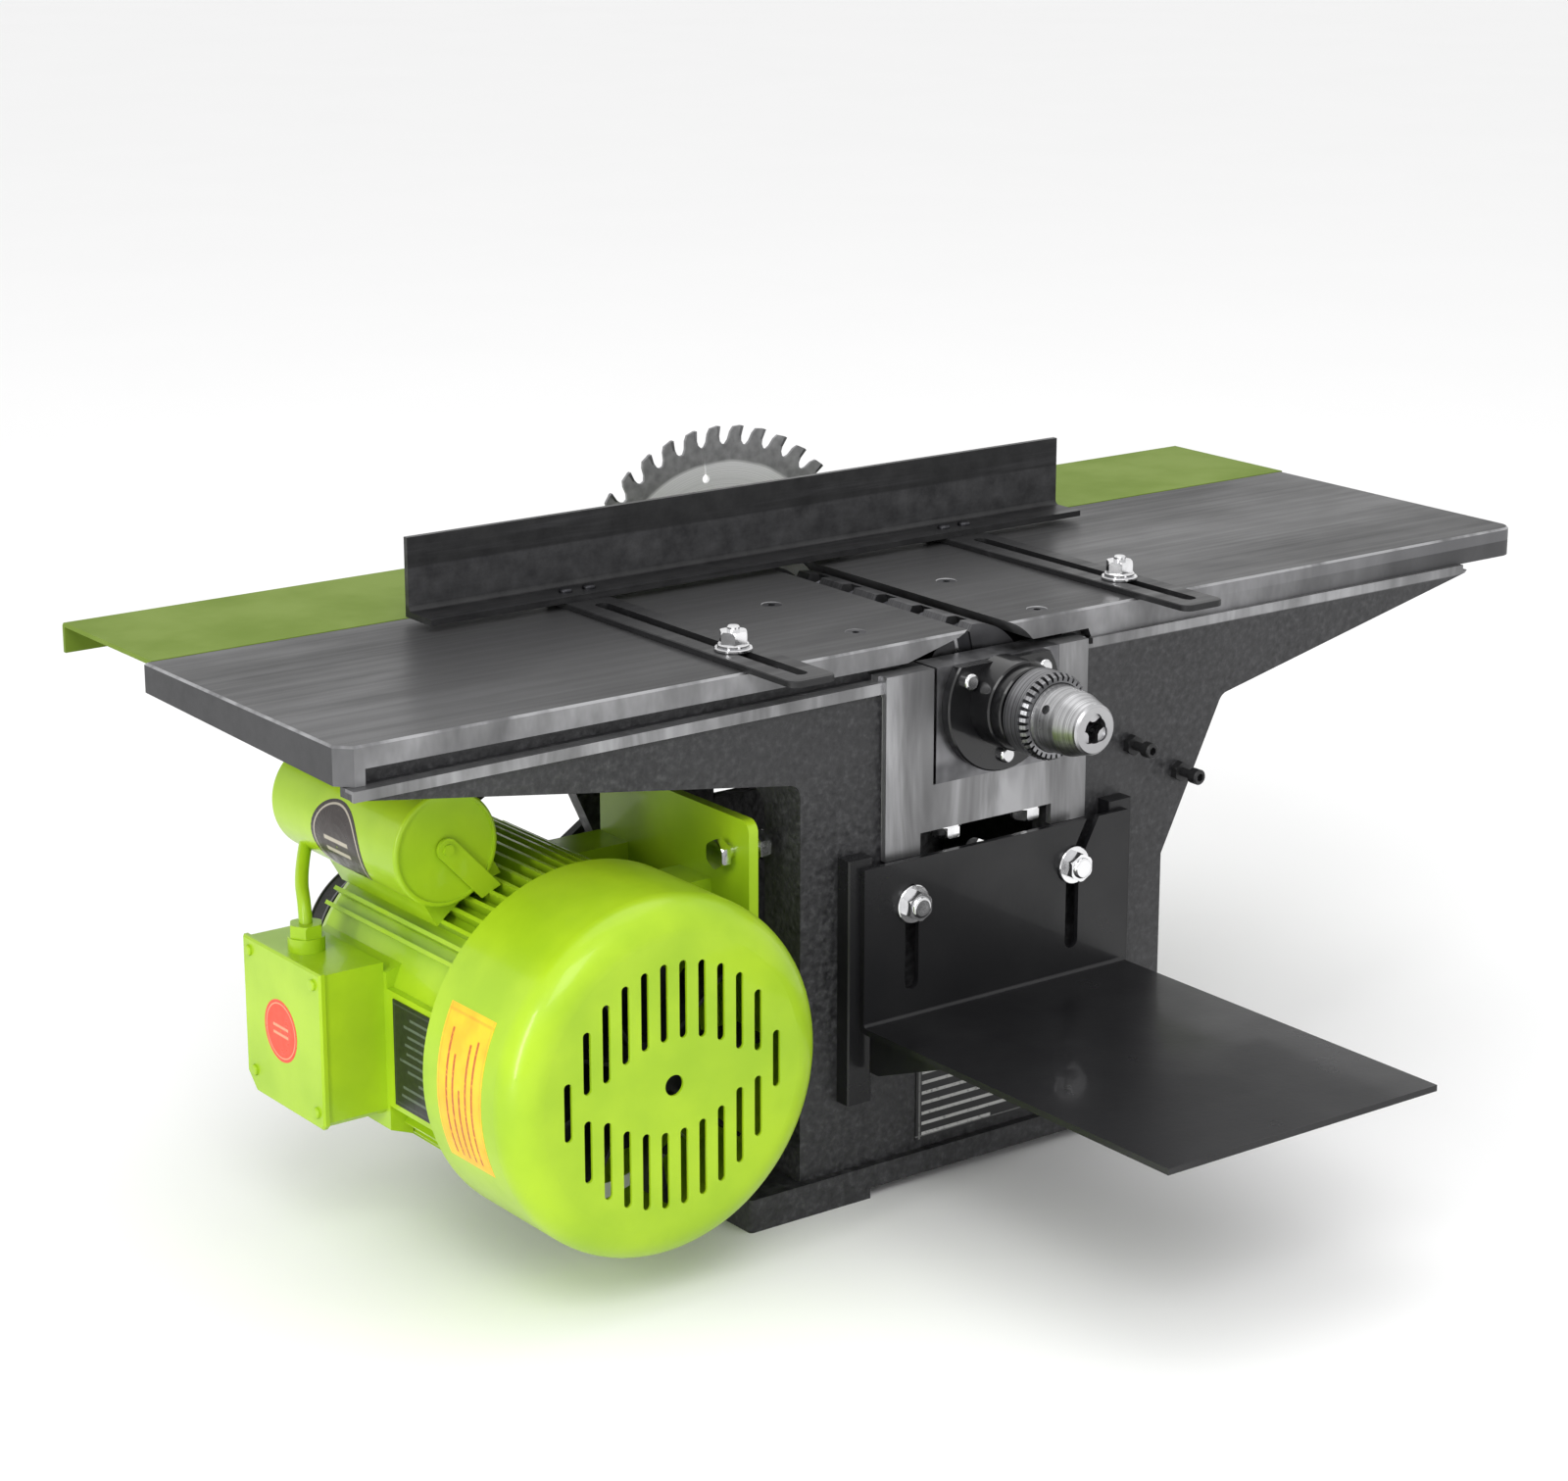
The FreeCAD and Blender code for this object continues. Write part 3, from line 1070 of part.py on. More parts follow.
def terminal_outline(grow=0.0):
    (y0, y1), (z0, z1) = TERMINAL_Y, TERMINAL_Z
    y0, y1, z0, z1 = y0 - grow, y1 + grow, z0 - grow, z1 + grow
    cut = 11.0
    return [(y0, z0 + cut * 0.3), (y0 + cut * 0.3, z0), (y1 - cut, z0), (y1, z0 + cut), (y1, z1), (y0, z1)]


def terminal_box():
    shell = prism_yz(terminal_outline(), TERMINAL_X0, TERMINAL_X1)
    (y0, y1), (z0, z1) = TERMINAL_Y, TERMINAL_Z
    hollow = block(TERMINAL_X0 - 1, TERMINAL_X1 - 3, y0 + 12, y1 - 12, z0 + 12, z1 - 3)
    return shell.cut([hollow, rod_z(GLAND[0], GLAND[1], 7.05, z1 - 5, z1 + 1)])


def terminal_lid():
    return bevelled(prism_yz(terminal_outline(1.2), TERMINAL_X0 - 4, TERMINAL_X0 - 0.02), 1.3,
                    lambda b: b.XMax < TERMINAL_X0 - 3.9)


def lid_screws():
    (y0, y1), (z0, z1) = TERMINAL_Y, TERMINAL_Z
    places = [(y0 + 7, z0 + 9), (y1 - 9, z0 + 13), (y0 + 7, z1 - 7), (y1 - 7, z1 - 7)]
    screws = []
    for y, z in places:
        head = rod_x(y, z, 3.6, TERMINAL_X0 - 6, TERMINAL_X0 - 4)
        screws.append(rounded(head, 1.2, lambda b: b.XMax < TERMINAL_X0 - 5.9))
    return screws


GLAND = (-414.0, 38.0)


def cable_gland():
    x, y = GLAND
    z = TERMINAL_Z[1]
    body = join(rod_z(x, y, 7.0, z - 4.5, z + 1), rod_z(x, y, 11.5, z, z + 9),
                hexagon(Vec(x, y, z + 9), Vec(0, 0, 1), 19.0, 8.0))
    return body.cut(rod_z(x, y, 4.25, z - 6, z + 20))


CAPACITOR_X = -367.0
CAPACITOR_Z = 268.0
CAPACITOR_R = 36.0
CAPACITOR_Y = (-52.0, 97.0)
LEAD_R = 4.2
LEAD_ROUTE = ((GLAND[0], GLAND[1], 198.0), (GLAND[0], GLAND[1], 216.0), (-405.0, 60.0, 231.0),
              (-386.0, 82.0, 249.0))


def capacitor():
    y0, y1 = CAPACITOR_Y
    can = rod_y(CAPACITOR_X, CAPACITOR_Z, CAPACITOR_R, y0, y1)
    can = rounded(can, 2.2, lambda b: b.YLength < 0.01 and b.XLength > 60)
    dish = rod_y(CAPACITOR_X, CAPACITOR_Z, CAPACITOR_R - 3.0, y0 - 1, y0 + 1.2)
    return can.cut(dish)


def capacitor_cradle():
    """Bent bracket under the capacitor, standing on the motor's fins."""
    x, z = CAPACITOR_X, CAPACITOR_Z
    lean = math.atan2(MOTOR_Z - z, MOTOR_X - x)
    away = Vec(math.cos(lean), 0, math.sin(lean))
    across = Vec(-away.z, 0, away.x)
    centre = Vec(x, 0, z)
    y0, y1 = -40.0, 74.0
    high = CAPACITOR_R - 9
    low = 46.0  # past where the bracket meets the fins
    points = [centre + across * 26 + away * high, centre + across * 26 + away * low,
              centre - across * 26 + away * low, centre - across * 26 + away * high]
    saddle = prism([p + Vec(0, y0, 0) for p in points], Vec(0, y1 - y0, 0))
    seat = rod_y(x, z, CAPACITOR_R + 0.02, y0 - 1, y1 + 1)
    fins = rod_y(MOTOR_X, MOTOR_Z, BARREL_R + 9.02, y0 - 1, y1 + 1)
    hollow = prism([p + Vec(0, y0 + 8, 0) for p in
                    (centre + across * 17 + away * 34, centre + across * 17 + away * 60,
                     centre - across * 17 + away * 60, centre - across * 17 + away * 34)],
                   Vec(0, y1 - y0 - 16, 0))
    return saddle.cut([seat, fins, hollow])


def capacitor_strap():
    """Flat strap from the middle of the capacitor's front down to the motor, with its rivet."""
    x, z, y = CAPACITOR_X, CAPACITOR_Z, CAPACITOR_Y[0] + 1.2
    lean = math.radians(-47)
    along = Vec(math.cos(lean), 0, math.sin(lean))
    across = Vec(-along.z, 0, along.x)
    start = Vec(x, y - 3.0, z)
    half = 7.0
    end = along * 50
    strap = prism([start + across * half, start + across * half + end, start - across * half + end,
                   start - across * half], Vec(0, 1.8, 0))
    head = rod(start, Vec(0, 1, 0), half, 1.8)
    rivet = rod(start - Vec(0, 1.6, 0), Vec(0, 1, 0), 3.4, 4.6)
    heel = start + along * 48
    foot = prism([heel + across * half, heel + across * half + along * 2, heel - across * half + along * 2,
                  heel - across * half], Vec(0, 14.0, 0))
    fins = rod_y(MOTOR_X, MOTOR_Z, BARREL_R + 9.02, y - 10, y + 30)
    return join(strap, head, rivet, foot).cut(fins)


def capacitor_lead():
    """Short round lead along straight runs joined by tangent arcs."""
    points = [Vec(*p) for p in LEAD_ROUTE]
    edges = []
    last = points[0]
    for before, corner, after in zip(points, points[1:], points[2:]):
        one, two = corner - before, after - corner
        turn = one.getAngle(two)
        set_back = 0.45 * min(one.Length, two.Length)
        radius = set_back / math.tan(turn / 2)
        print(f"lead arc radius {radius:.1f}")
        start = corner - one / one.Length * set_back
        end = corner + two / two.Length * set_back
        inward = (two / two.Length - one / one.Length)
        inward = inward / inward.Length
        middle = corner + inward * (radius / math.cos(turn / 2) - radius)
        edges.append(Part.LineSegment(last, start).toShape())
        edges.append(Part.Arc(start, middle, end).toShape())
        last = end
    edges.append(Part.LineSegment(last, points[-1]).toShape())
    path = Part.Wire(edges)
    circle = Part.Wire([Part.makeCircle(LEAD_R, points[0], points[1] - points[0])])
    tube = path.makePipeShell([circle], True, False)
    print(f"lead length {path.Length:.1f}, volume over section {tube.Volume / (math.pi * LEAD_R**2):.1f}")
    return tube


def nameplate():
    """Blank rating plate on the flat of the motor frame."""
    x = TERMINAL_X1
    return block(x - 0.8, x, -84, -22, MOTOR_Z - 42, MOTOR_Z + 26)


def label_plate():
    """Blank data plate on the front wall."""
    return block(-59, 45, -WALL_OUT - 0.8, -WALL_OUT, 28, 84)


# ---- everything --------------------------------------------------------------------------------


def main():
    os.makedirs("parts", exist_ok=True)
    save("base_casting", base_casting())
    save("outfeed_table", outfeed_table())
    save("outfeed_table_screws", *[table_screw(x, y, 322) for x, y in OUTFEED_SCREWS])
    save("infeed_table", infeed_table())
    save("infeed_table_screws", *[table_screw(x, y, 352.5) for x, y in INFEED_SCREWS])
    save("infeed_adjusting_screw", adjusting_screw())
    save("infeed_gib_strip", gib_strip())
    for name, place in zip(("upper", "lower"), LOCK_SCREWS):
        save(f"{name}_lock_screw", lock_screw(*place))
    save("saw_table", saw_table())
    brackets = [saw_bracket(x) for x in BRACKET_X]
    for x in BRACKET_X:
        brackets += bracket_bolts(x)
    save("saw_table_brackets", *brackets)
    save("fence_rail", fence_rail())
    save("fence_arms", *[fence_arm(x) for x in CLAMP_X])
    save("fence_arm_screws", *(arm_screws(CLAMP_X[0]) + arm_screws(CLAMP_X[1])))
    clamps = []
    for x in CLAMP_X:
        clamps += [clamp_bolt(x), clamp_nut(x)] + clamp_washers(x)
    save("fence_clamps", *clamps)

    save("bearing_blocks", bearing_block(FRONT_BLOCK, FRONT_BEARING, COVER_SCREW_R),
         bearing_block(REAR_BLOCK, REAR_BEARING, REAR_SCREW_R))
    save("bearing_block_bolts", *(block_bolts(-110.0) + block_bolts(104.0)))
    save("front_bearing_cover", front_cover())
    save("rear_bearing_cover", rear_cover())
    save("bearing_cover_screws", *(cover_screws(PAD_FACE - 7, -1, COVER_SCREW_R, 5.4)
                                   + cover_screws(WALL_OUT + 6, 1, REAR_SCREW_R, 4.5)))
    front, rear = bearing_rings(FRONT_BEARING), bearing_rings(REAR_BEARING)
    save("bearing_outer_rings", front[0], rear[0])
    save("bearing_inner_races", front[1], rear[1], *(front[2] + rear[2]))
    save("cutterhead", cutterhead())
    save("knives", *[knife(a) for a in KNIFE_ANGLES])
    save("knife_gibs", *[gib(a) for a in KNIFE_ANGLES])
    screws = []
    for angle in KNIFE_ANGLES:
        screws += gib_screws(angle)
    save("gib_screws", *screws)
    save("spindle_pulley", pulley(0, SPINDLE_Z, SPINDLE_PULLEY_R, JOURNAL_R + 0.02))
    save("motor_pulley", pulley(MOTOR_X, MOTOR_Z, MOTOR_PULLEY_R, 12.02))
    middle = (PULLEY_Y0 + PULLEY_Y1) / 2
    save("v_belts", belt(middle - GROOVE_PITCH / 2), belt(middle + GROOVE_PITCH / 2))
    save("saw_blade", saw_blade())
    save("blade_tips", *blade_tips())
    save("blade_flanges_and_nut", blade_flange(PULLEY_Y1 + 0.5, BLADE_Y, 30.0),
         blade_flange(BLADE_Y + BLADE_T, BLADE_Y + BLADE_T + 6, 28.0), arbor_nut())
    save("chuck_body", chuck_body())
    save("chuck_sleeve", chuck_sleeve())
    for number, angle in enumerate(JAWS, 1):
        save(f"chuck_jaw_{number}", jaw(angle))

    save("mortise_table", mortise_table())
    save("mortise_guide_rails", *[guide_rail(*r) for r in RAILS])
    clamps = []
    for x in MORTISE_BOLTS:
        clamps += [mortise_bolt(x), mortise_washer(x), mortise_spacer(x)]
    save("mortise_clamps", *clamps)
    save("label_plate", label_plate())

    save("motor_plate", motor_plate())
    save("hinge_rod", *hinge_rod())
    save("tension_screw", tension_screw())
    save("motor_screws", *(foot_bolts() + lid_screws()))
    save("motor_frame", motor_frame())
    save("motor_end_shields", front_shield(), rear_shield())
    save("motor_bearings", motor_bearing(BARREL_Y[0]), motor_bearing(REAR_SHIELD_Y[0] - BEARING_W))
    save("fan_cover", fan_cover())
    save("stator", stator_core(), winding(-78, -52.5), winding(42.5, 62))
    save("rotor", rotor_shaft(), rotor_core())
    save("cooling_fan", cooling_fan())
    save("terminal_box", terminal_box())
    save("terminal_box_lid", terminal_lid())
    save("cable_gland", cable_gland())
    save("capacitor", capacitor())
    save("capacitor_bracket", capacitor_cradle(), capacitor_strap())
    save("capacitor_lead", capacitor_lead())
    save("nameplate", nameplate())


if __name__ == "__main__":
    main()
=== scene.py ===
"""Looks of a bench combination jointer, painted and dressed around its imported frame.

Metres, in the frame of the part: +X along the tables to the infeed end, +Y away from the
operator, +Z up. Every material is procedural and reads the mesh's own coordinates, so it stays
on the surface when a body moves.
"""

import math

import bpy
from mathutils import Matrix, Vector


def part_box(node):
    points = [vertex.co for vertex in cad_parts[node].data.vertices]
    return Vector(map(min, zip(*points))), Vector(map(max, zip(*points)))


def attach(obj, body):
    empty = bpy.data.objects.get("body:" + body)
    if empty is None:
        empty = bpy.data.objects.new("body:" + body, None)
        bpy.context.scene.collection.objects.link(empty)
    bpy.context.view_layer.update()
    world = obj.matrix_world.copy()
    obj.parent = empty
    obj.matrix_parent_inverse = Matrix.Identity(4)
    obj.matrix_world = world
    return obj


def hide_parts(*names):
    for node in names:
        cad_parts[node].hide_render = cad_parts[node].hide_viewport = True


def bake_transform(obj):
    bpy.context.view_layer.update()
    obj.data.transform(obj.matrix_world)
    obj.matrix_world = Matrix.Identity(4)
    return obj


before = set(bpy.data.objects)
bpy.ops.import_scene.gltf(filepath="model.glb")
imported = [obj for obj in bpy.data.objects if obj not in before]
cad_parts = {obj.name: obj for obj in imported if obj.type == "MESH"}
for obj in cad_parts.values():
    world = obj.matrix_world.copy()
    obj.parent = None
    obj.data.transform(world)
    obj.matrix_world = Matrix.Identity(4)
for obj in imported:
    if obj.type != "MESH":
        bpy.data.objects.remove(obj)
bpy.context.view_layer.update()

MM = 0.001

# ---- camera ------------------------------------------------------------------------------------

CAMERA_PLACE = Vector((-1.424, -1.811, 0.9215))
CAMERA_AHEAD = Vector((0.5731, 0.7717, -0.2760))
CAMERA_LENS = 82.96
SENSOR_WIDTH = 36.0


def make_camera():
    data = bpy.data.cameras.new("camera")
    data.sensor_fit = "HORIZONTAL"
    data.sensor_width = SENSOR_WIDTH
    data.lens = CAMERA_LENS
    data.clip_start = 0.05
    data.clip_end = 200.0
    camera = bpy.data.objects.new("camera", data)
    camera.location = CAMERA_PLACE
    camera.rotation_mode = "QUATERNION"
    camera.rotation_quaternion = CAMERA_AHEAD.to_track_quat("-Z", "Y")
    bpy.context.scene.collection.objects.link(camera)
    bpy.context.scene.camera = camera


# ---- the capacitor's lead ----------------------------------------------------------------------

LEAD_RADIUS = 4.2 * MM
LEAD_ROUTE = (
    (-0.414, 0.038, 0.198),
    (-0.414, 0.038, 0.216),
    (-0.405, 0.060, 0.231),
    (-0.386, 0.082, 0.249),
)


def make_lead(paint):
    curve = bpy.data.curves.new("lead", "CURVE")
    curve.dimensions = "3D"
    curve.bevel_depth = LEAD_RADIUS
    curve.bevel_resolution = 6
    curve.resolution_u = 24
    spline = curve.splines.new("NURBS")
    spline.points.add(len(LEAD_ROUTE) - 1)
    for point, place in zip(spline.points, LEAD_ROUTE):
        point.co = (*place, 1.0)
    spline.order_u = 3
    spline.use_endpoint_u = True
    lead = bpy.data.objects.new("lead", curve)
    bpy.context.scene.collection.objects.link(lead)
    curve.materials.append(paint)
    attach(lead, "motor")
    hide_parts("capacitor_lead")


# ---- node trees --------------------------------------------------------------------------------


class Finish:
    """One material: a Principled shader and the nodes that feed it."""

    def __init__(self, name, **values):
        self.material = bpy.data.materials.new(name)
        self.material.use_nodes = True
        self.tree = self.material.node_tree
        self.shader = self.tree.nodes["Principled BSDF"]
        for socket, value in values.items():
            self.shader.inputs[socket.replace("_", " ")].default_value = value
        self.place = self.add("ShaderNodeTexCoord").outputs["Object"]
        self.facing = self.add("ShaderNodeNewGeometry").outputs["Normal"]

    def add(self, kind, **settings):
        node = self.tree.nodes.new(kind)
        for key, value in settings.items():
            setattr(node, key, value)
        return node

    def feed(self, socket, value):
        """Links a node's output into a socket, or sets a plain value there."""
        if isinstance(value, bpy.types.NodeSocket):
            self.tree.links.new(value, socket)
        else:
            socket.default_value = value

    def maths(self, operation, a, b=0.0):
        node = self.add("ShaderNodeMath", operation=operation)
        self.feed(node.inputs[0], a)
        self.feed(node.inputs[1], b)
        return node.outputs[0]

    def stretched(self, scale, vector=None):
        node = self.add("ShaderNodeVectorMath", operation="MULTIPLY")
        self.feed(node.inputs[0], vector or self.place)
        node.inputs[1].default_value = scale
        return node.outputs[0]

    def noise(self, scale, detail=3.0, roughness=0.5, stretch=(1, 1, 1), distortion=0.0):
        node = self.add("ShaderNodeTexNoise")
        self.feed(node.inputs["Vector"], self.stretched(stretch))
        node.inputs["Scale"].default_value = scale
        node.inputs["Detail"].default_value = detail
        node.inputs["Roughness"].default_value = roughness
        node.inputs["Distortion"].default_value = distortion
        return node.outputs["Fac"]

    def cells(self, scale, feature="F1", stretch=(1, 1, 1)):
        node = self.add("ShaderNodeTexVoronoi", feature=feature)
        self.feed(node.inputs["Vector"], self.stretched(stretch))
        node.inputs["Scale"].default_value = scale
        return node.outputs["Distance"]

    def axis(self, index, vector=None):
        node = self.add("ShaderNodeSeparateXYZ")
        self.feed(node.inputs[0], vector or self.place)
        return node.outputs[index]

    def radius_from(self, x, z):
        """Distance from a line along Y through (x, z)."""
        dx = self.maths("SUBTRACT", self.axis(0), x)
        dz = self.maths("SUBTRACT", self.axis(2), z)
        square = self.maths("ADD", self.maths("POWER", dx, 2.0), self.maths("POWER", dz, 2.0))
        return self.maths("SQRT", square)

    def span(self, value, low, high, out_low=0.0, out_high=1.0, smooth=True):
        """Value mapped from low...high, with soft ends."""
        node = self.add("ShaderNodeMapRange", clamp=True)
        node.interpolation_type = "SMOOTHSTEP" if smooth else "LINEAR"
        self.feed(node.inputs["Value"], value)
        node.inputs["From Min"].default_value = low
        node.inputs["From Max"].default_value = high
        node.inputs["To Min"].default_value = out_low
        node.inputs["To Max"].default_value = out_high
        return node.outputs["Result"]

    def between(self, value, low, high, soft=0.0004):
        up = self.span(value, low - soft, low + soft)
        down = self.span(value, high - soft, high + soft, 1.0, 0.0)
        return self.maths("MULTIPLY", up, down)

    def all_of(self, *masks):
        result = masks[0]
        for mask in masks[1:]:
            result = self.maths("MULTIPLY", result, mask)
        return result

    def any_of(self, *masks):
        result = masks[0]
        for mask in masks[1:]:
            result = self.maths("MAXIMUM", result, mask)
        return result

    def mix(self, factor, a, b):
        node = self.add("ShaderNodeMix", data_type="RGBA")
        self.feed(node.inputs["Factor"], factor)
        self.feed(node.inputs[6], a if isinstance(a, bpy.types.NodeSocket) else (*a, 1.0))
        self.feed(node.inputs[7], b if isinstance(b, bpy.types.NodeSocket) else (*b, 1.0))
        return node.outputs[2]

    def mix_value(self, factor, a, b):
        node = self.add("ShaderNodeMix", data_type="FLOAT")
        self.feed(node.inputs["Factor"], factor)
        self.feed(node.inputs[2], a)
        self.feed(node.inputs[3], b)
        return node.outputs[0]

    def tones(self, factor, *stops):
        """A colour ramp through (position, colour) stops."""
        ramp = self.add("ShaderNodeValToRGB")
        self.feed(ramp.inputs["Fac"], factor)
        elements = ramp.color_ramp.elements
        while len(elements) < len(stops):
            elements.new(1.0)
        for element, (position, colour) in zip(elements, stops):
            element.position = position
            element.color = (*colour, 1.0)
        return ramp.outputs["Color"]

    def colour(self, value):
        self.feed(self.shader.inputs["Base Color"],
                  value if isinstance(value, bpy.types.NodeSocket) else (*value, 1.0))

    def rough(self, value):
        self.feed(self.shader.inputs["Roughness"], value)

    def metal(self, value):
        self.feed(self.shader.inputs["Metallic"], value)

    def relief(self, height, depth, strength=1.0, before=None):
        """Bump of a given depth in metres, on top of an earlier one."""
        node = self.add("ShaderNodeBump")
        node.inputs["Distance"].default_value = depth
        node.inputs["Strength"].default_value = strength
        self.feed(node.inputs["Height"], height)
        if before is not None:
            self.feed(node.inputs["Normal"], before)
        self.feed(self.shader.inputs["Normal"], node.outputs["Normal"])
        return node.outputs["Normal"]

    def round_the_y_axis(self, strength):
        """Highlights drawn out as on a face turned in a lathe, about an axis along Y."""
        tangent = self.add("ShaderNodeTangent", direction_type="RADIAL", axis="Y")
        self.feed(self.shader.inputs["Tangent"], tangent.outputs[0])
        self.shader.inputs["Anisotropic"].default_value = strength


# ---- castings and tables -----------------------------------------------------------------------

PAD_LOW, PAD_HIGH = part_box("bearing_blocks")
PAD_LEFT = -0.0925
PAD_RIGHT = 0.0775
PAD_BOTTOM = 0.2055
PAD_DEPTH = -0.1165
RIM_HEIGHT = 0.3342
OUTER_WALL = 0.1085  # distance of the walls' machined rims from the middle
STRIP_LOW = 0.3300
STRIP_FACE = -0.1155
STRIP_RIGHT = -0.0880
EDGE_SOFT = 0.0005


def hammered_casting():
    """Black hammered paint, with the bearing pad and the walls' rims machined bare."""
    m = Finish("hammered_casting")
    grain = m.noise(210.0, detail=4.0, roughness=0.65)
    patches = m.noise(9.0, detail=3.0)
    dimples = m.cells(200.0, feature="SMOOTH_F1")
    paint = m.tones(grain, (0.33, (0.006, 0.006, 0.007)), (0.52, (0.022, 0.022, 0.024)),
                    (0.74, (0.062, 0.062, 0.065)))
    paint = m.mix(m.span(patches, 0.35, 0.7, 0.0, 0.35), paint, (0.036, 0.036, 0.038))
    smear = m.noise(1.0, detail=4.0, roughness=0.6, stretch=(30.0, 30.0, 5.0), distortion=0.5)
    cut = m.noise(1.0, detail=2.0, stretch=(90.0, 90.0, 1400.0))
    bare = m.tones(smear, (0.30, (0.14, 0.14, 0.143)), (0.50, (0.24, 0.24, 0.245)),
                   (0.66, (0.38, 0.38, 0.39)))
    x, y, z = (m.axis(i) for i in range(3))
    pad = m.all_of(m.between(x, PAD_LEFT, PAD_RIGHT), m.span(z, PAD_BOTTOM, PAD_BOTTOM + 0.0006),
                   m.span(y, PAD_DEPTH - 0.0005, PAD_DEPTH, 1.0, 0.0))
    outer = m.span(m.maths("ABSOLUTE", y), OUTER_WALL, OUTER_WALL + EDGE_SOFT)
    rim = m.all_of(m.span(z, RIM_HEIGHT, RIM_HEIGHT + 0.0012), outer)
    strip = m.all_of(m.span(z, STRIP_LOW, STRIP_LOW + EDGE_SOFT),
                     m.span(y, STRIP_FACE - EDGE_SOFT, STRIP_FACE, 1.0, 0.0),
                     m.span(x, STRIP_RIGHT - 2 * EDGE_SOFT, STRIP_RIGHT, 1.0, 0.0))
    machined = m.any_of(pad, m.any_of(rim, strip))
    m.colour(m.mix(machined, paint, bare))
    m.metal(m.mix_value(machined, 0.0, 0.85))
    m.rough(m.mix_value(machined, m.span(grain, 0.3, 0.7, 0.36, 0.58), m.span(smear, 0.3, 0.7, 0.5, 0.3)))
    height = m.maths("ADD", m.maths("MULTIPLY", dimples, 0.55), m.maths("MULTIPLY", grain, 0.45))
    height = m.mix_value(machined, height, m.maths("MULTIPLY", cut, 0.06))
    m.relief(height, 0.0011, 0.75)
    return m.material


TABLE_LIP_LOW = 0.352
TABLE_LIP_HIGH = 0.362


def ground_table():
    """Dark ground iron: faint lengthwise streaks on top, machined sides with painted shade that darkens them
    towards the infeed end, bright worn edges.
    """
    m = Finish("ground_table", Specular_IOR_Level=0.3)
    streaks = m.noise(1.0, detail=4.0, roughness=0.6, stretch=(3.0, 130.0, 130.0))
    clouds = m.noise(7.0, detail=4.0, roughness=0.6, stretch=(0.6, 1.6, 1.0))
    fine = m.noise(1.0, detail=2.0, stretch=(60.0, 2600.0, 2600.0))
    top = m.tones(clouds, (0.30, (0.030, 0.030, 0.031)), (0.52, (0.042, 0.042, 0.043)),
                  (0.75, (0.058, 0.058, 0.060)))
    top = m.mix(m.span(streaks, 0.42, 0.72, 0.0, 0.3), top, (0.072, 0.072, 0.074))
    smear = m.noise(1.0, detail=4.0, roughness=0.6, stretch=(26.0, 26.0, 12.0))
    side = m.tones(smear, (0.30, (0.11, 0.11, 0.113)), (0.50, (0.19, 0.19, 0.195)),
                   (0.72, (0.32, 0.32, 0.33)))
    nx, nz = m.axis(0, m.facing), m.axis(2, m.facing)
    # painted shade: the front side is drawn lighter near the pad and fades to dark towards the infeed end,
    # where only a lighter band under the top edge remains
    fade = m.span(m.axis(0), 0.12, 0.42, 1.0, 0.12)
    lip = m.between(m.axis(2), TABLE_LIP_LOW, TABLE_LIP_HIGH)
    side = m.mix(fade, m.mix(lip, (0.040, 0.040, 0.042), (0.105, 0.105, 0.11)), side)
    side = m.mix(m.span(m.maths("ABSOLUTE", nx), 0.5, 0.9), side, (0.032, 0.032, 0.034))
    edge = m.all_of(m.span(nz, 0.2, 0.5), m.span(nz, 0.9, 0.98, 1.0, 0.0))
    face = m.mix(m.span(nz, 0.5, 0.9), side, top)
    m.colour(m.mix(m.maths("MULTIPLY", edge, m.span(smear, 0.35, 0.6, 0.25, 1.0)), face, (0.42, 0.42, 0.43)))
    m.metal(m.mix_value(edge, 0.25, 0.9))
    m.rough(m.maths("ADD", m.span(clouds, 0.3, 0.7, 0.52, 0.38), m.span(streaks, 0.3, 0.7, 0.0, -0.08)))
    height = m.maths("ADD", m.maths("MULTIPLY", fine, 0.5), m.maths("MULTIPLY", streaks, 0.5))
    m.relief(height, 0.00012, 0.6)
    return m.material


# ---- paints ------------------------------------------------------------------------------------


def paint(name, dark, light, rough, coat, peel=0.00005, specular=0.5):
    """Sprayed paint with orange peel, faint dust and an uneven sheen."""
    m = Finish(name, Coat_Weight=coat, Coat_Roughness=0.06, Specular_IOR_Level=specular)
    clouds = m.noise(16.0, detail=4.0)
    dust = m.noise(520.0, detail=2.0)
    body = m.mix(m.span(clouds, 0.3, 0.7), dark, light)
    m.colour(m.mix(m.span(dust, 0.62, 0.8, 0.0, 0.25), body, dark))
    m.rough(m.span(clouds, 0.3, 0.7, rough + 0.05, rough - 0.05))
    m.relief(m.noise(300.0, detail=1.0), peel, 0.8)
    return m.material


def black_steel():
    """Oiled black sheet steel with rolling marks and lighter rubbed patches."""
    m = Finish("black_steel")
    rolled = m.noise(1.0, detail=4.0, roughness=0.6, stretch=(5.0, 90.0, 90.0))
    rubbed = m.noise(11.0, detail=4.0, roughness=0.6)
    base = m.tones(rubbed, (0.35, (0.010, 0.010, 0.011)), (0.60, (0.022, 0.022, 0.023)),
                   (0.80, (0.060, 0.060, 0.062)))
    m.colour(m.mix(m.span(rolled, 0.5, 0.8, 0.0, 0.5), base, (0.050, 0.050, 0.052)))
    m.metal(m.span(rubbed, 0.5, 0.8, 0.35, 0.75))
    m.rough(m.span(rolled, 0.3, 0.7, 0.50, 0.34))
    m.relief(rolled, 0.00010, 0.6)
    return m.material


FENCE_LOW, FENCE_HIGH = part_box("fence_rail")
FENCE_LINE = FENCE_LOW.z + 0.62 * (FENCE_HIGH.z - FENCE_LOW.z)


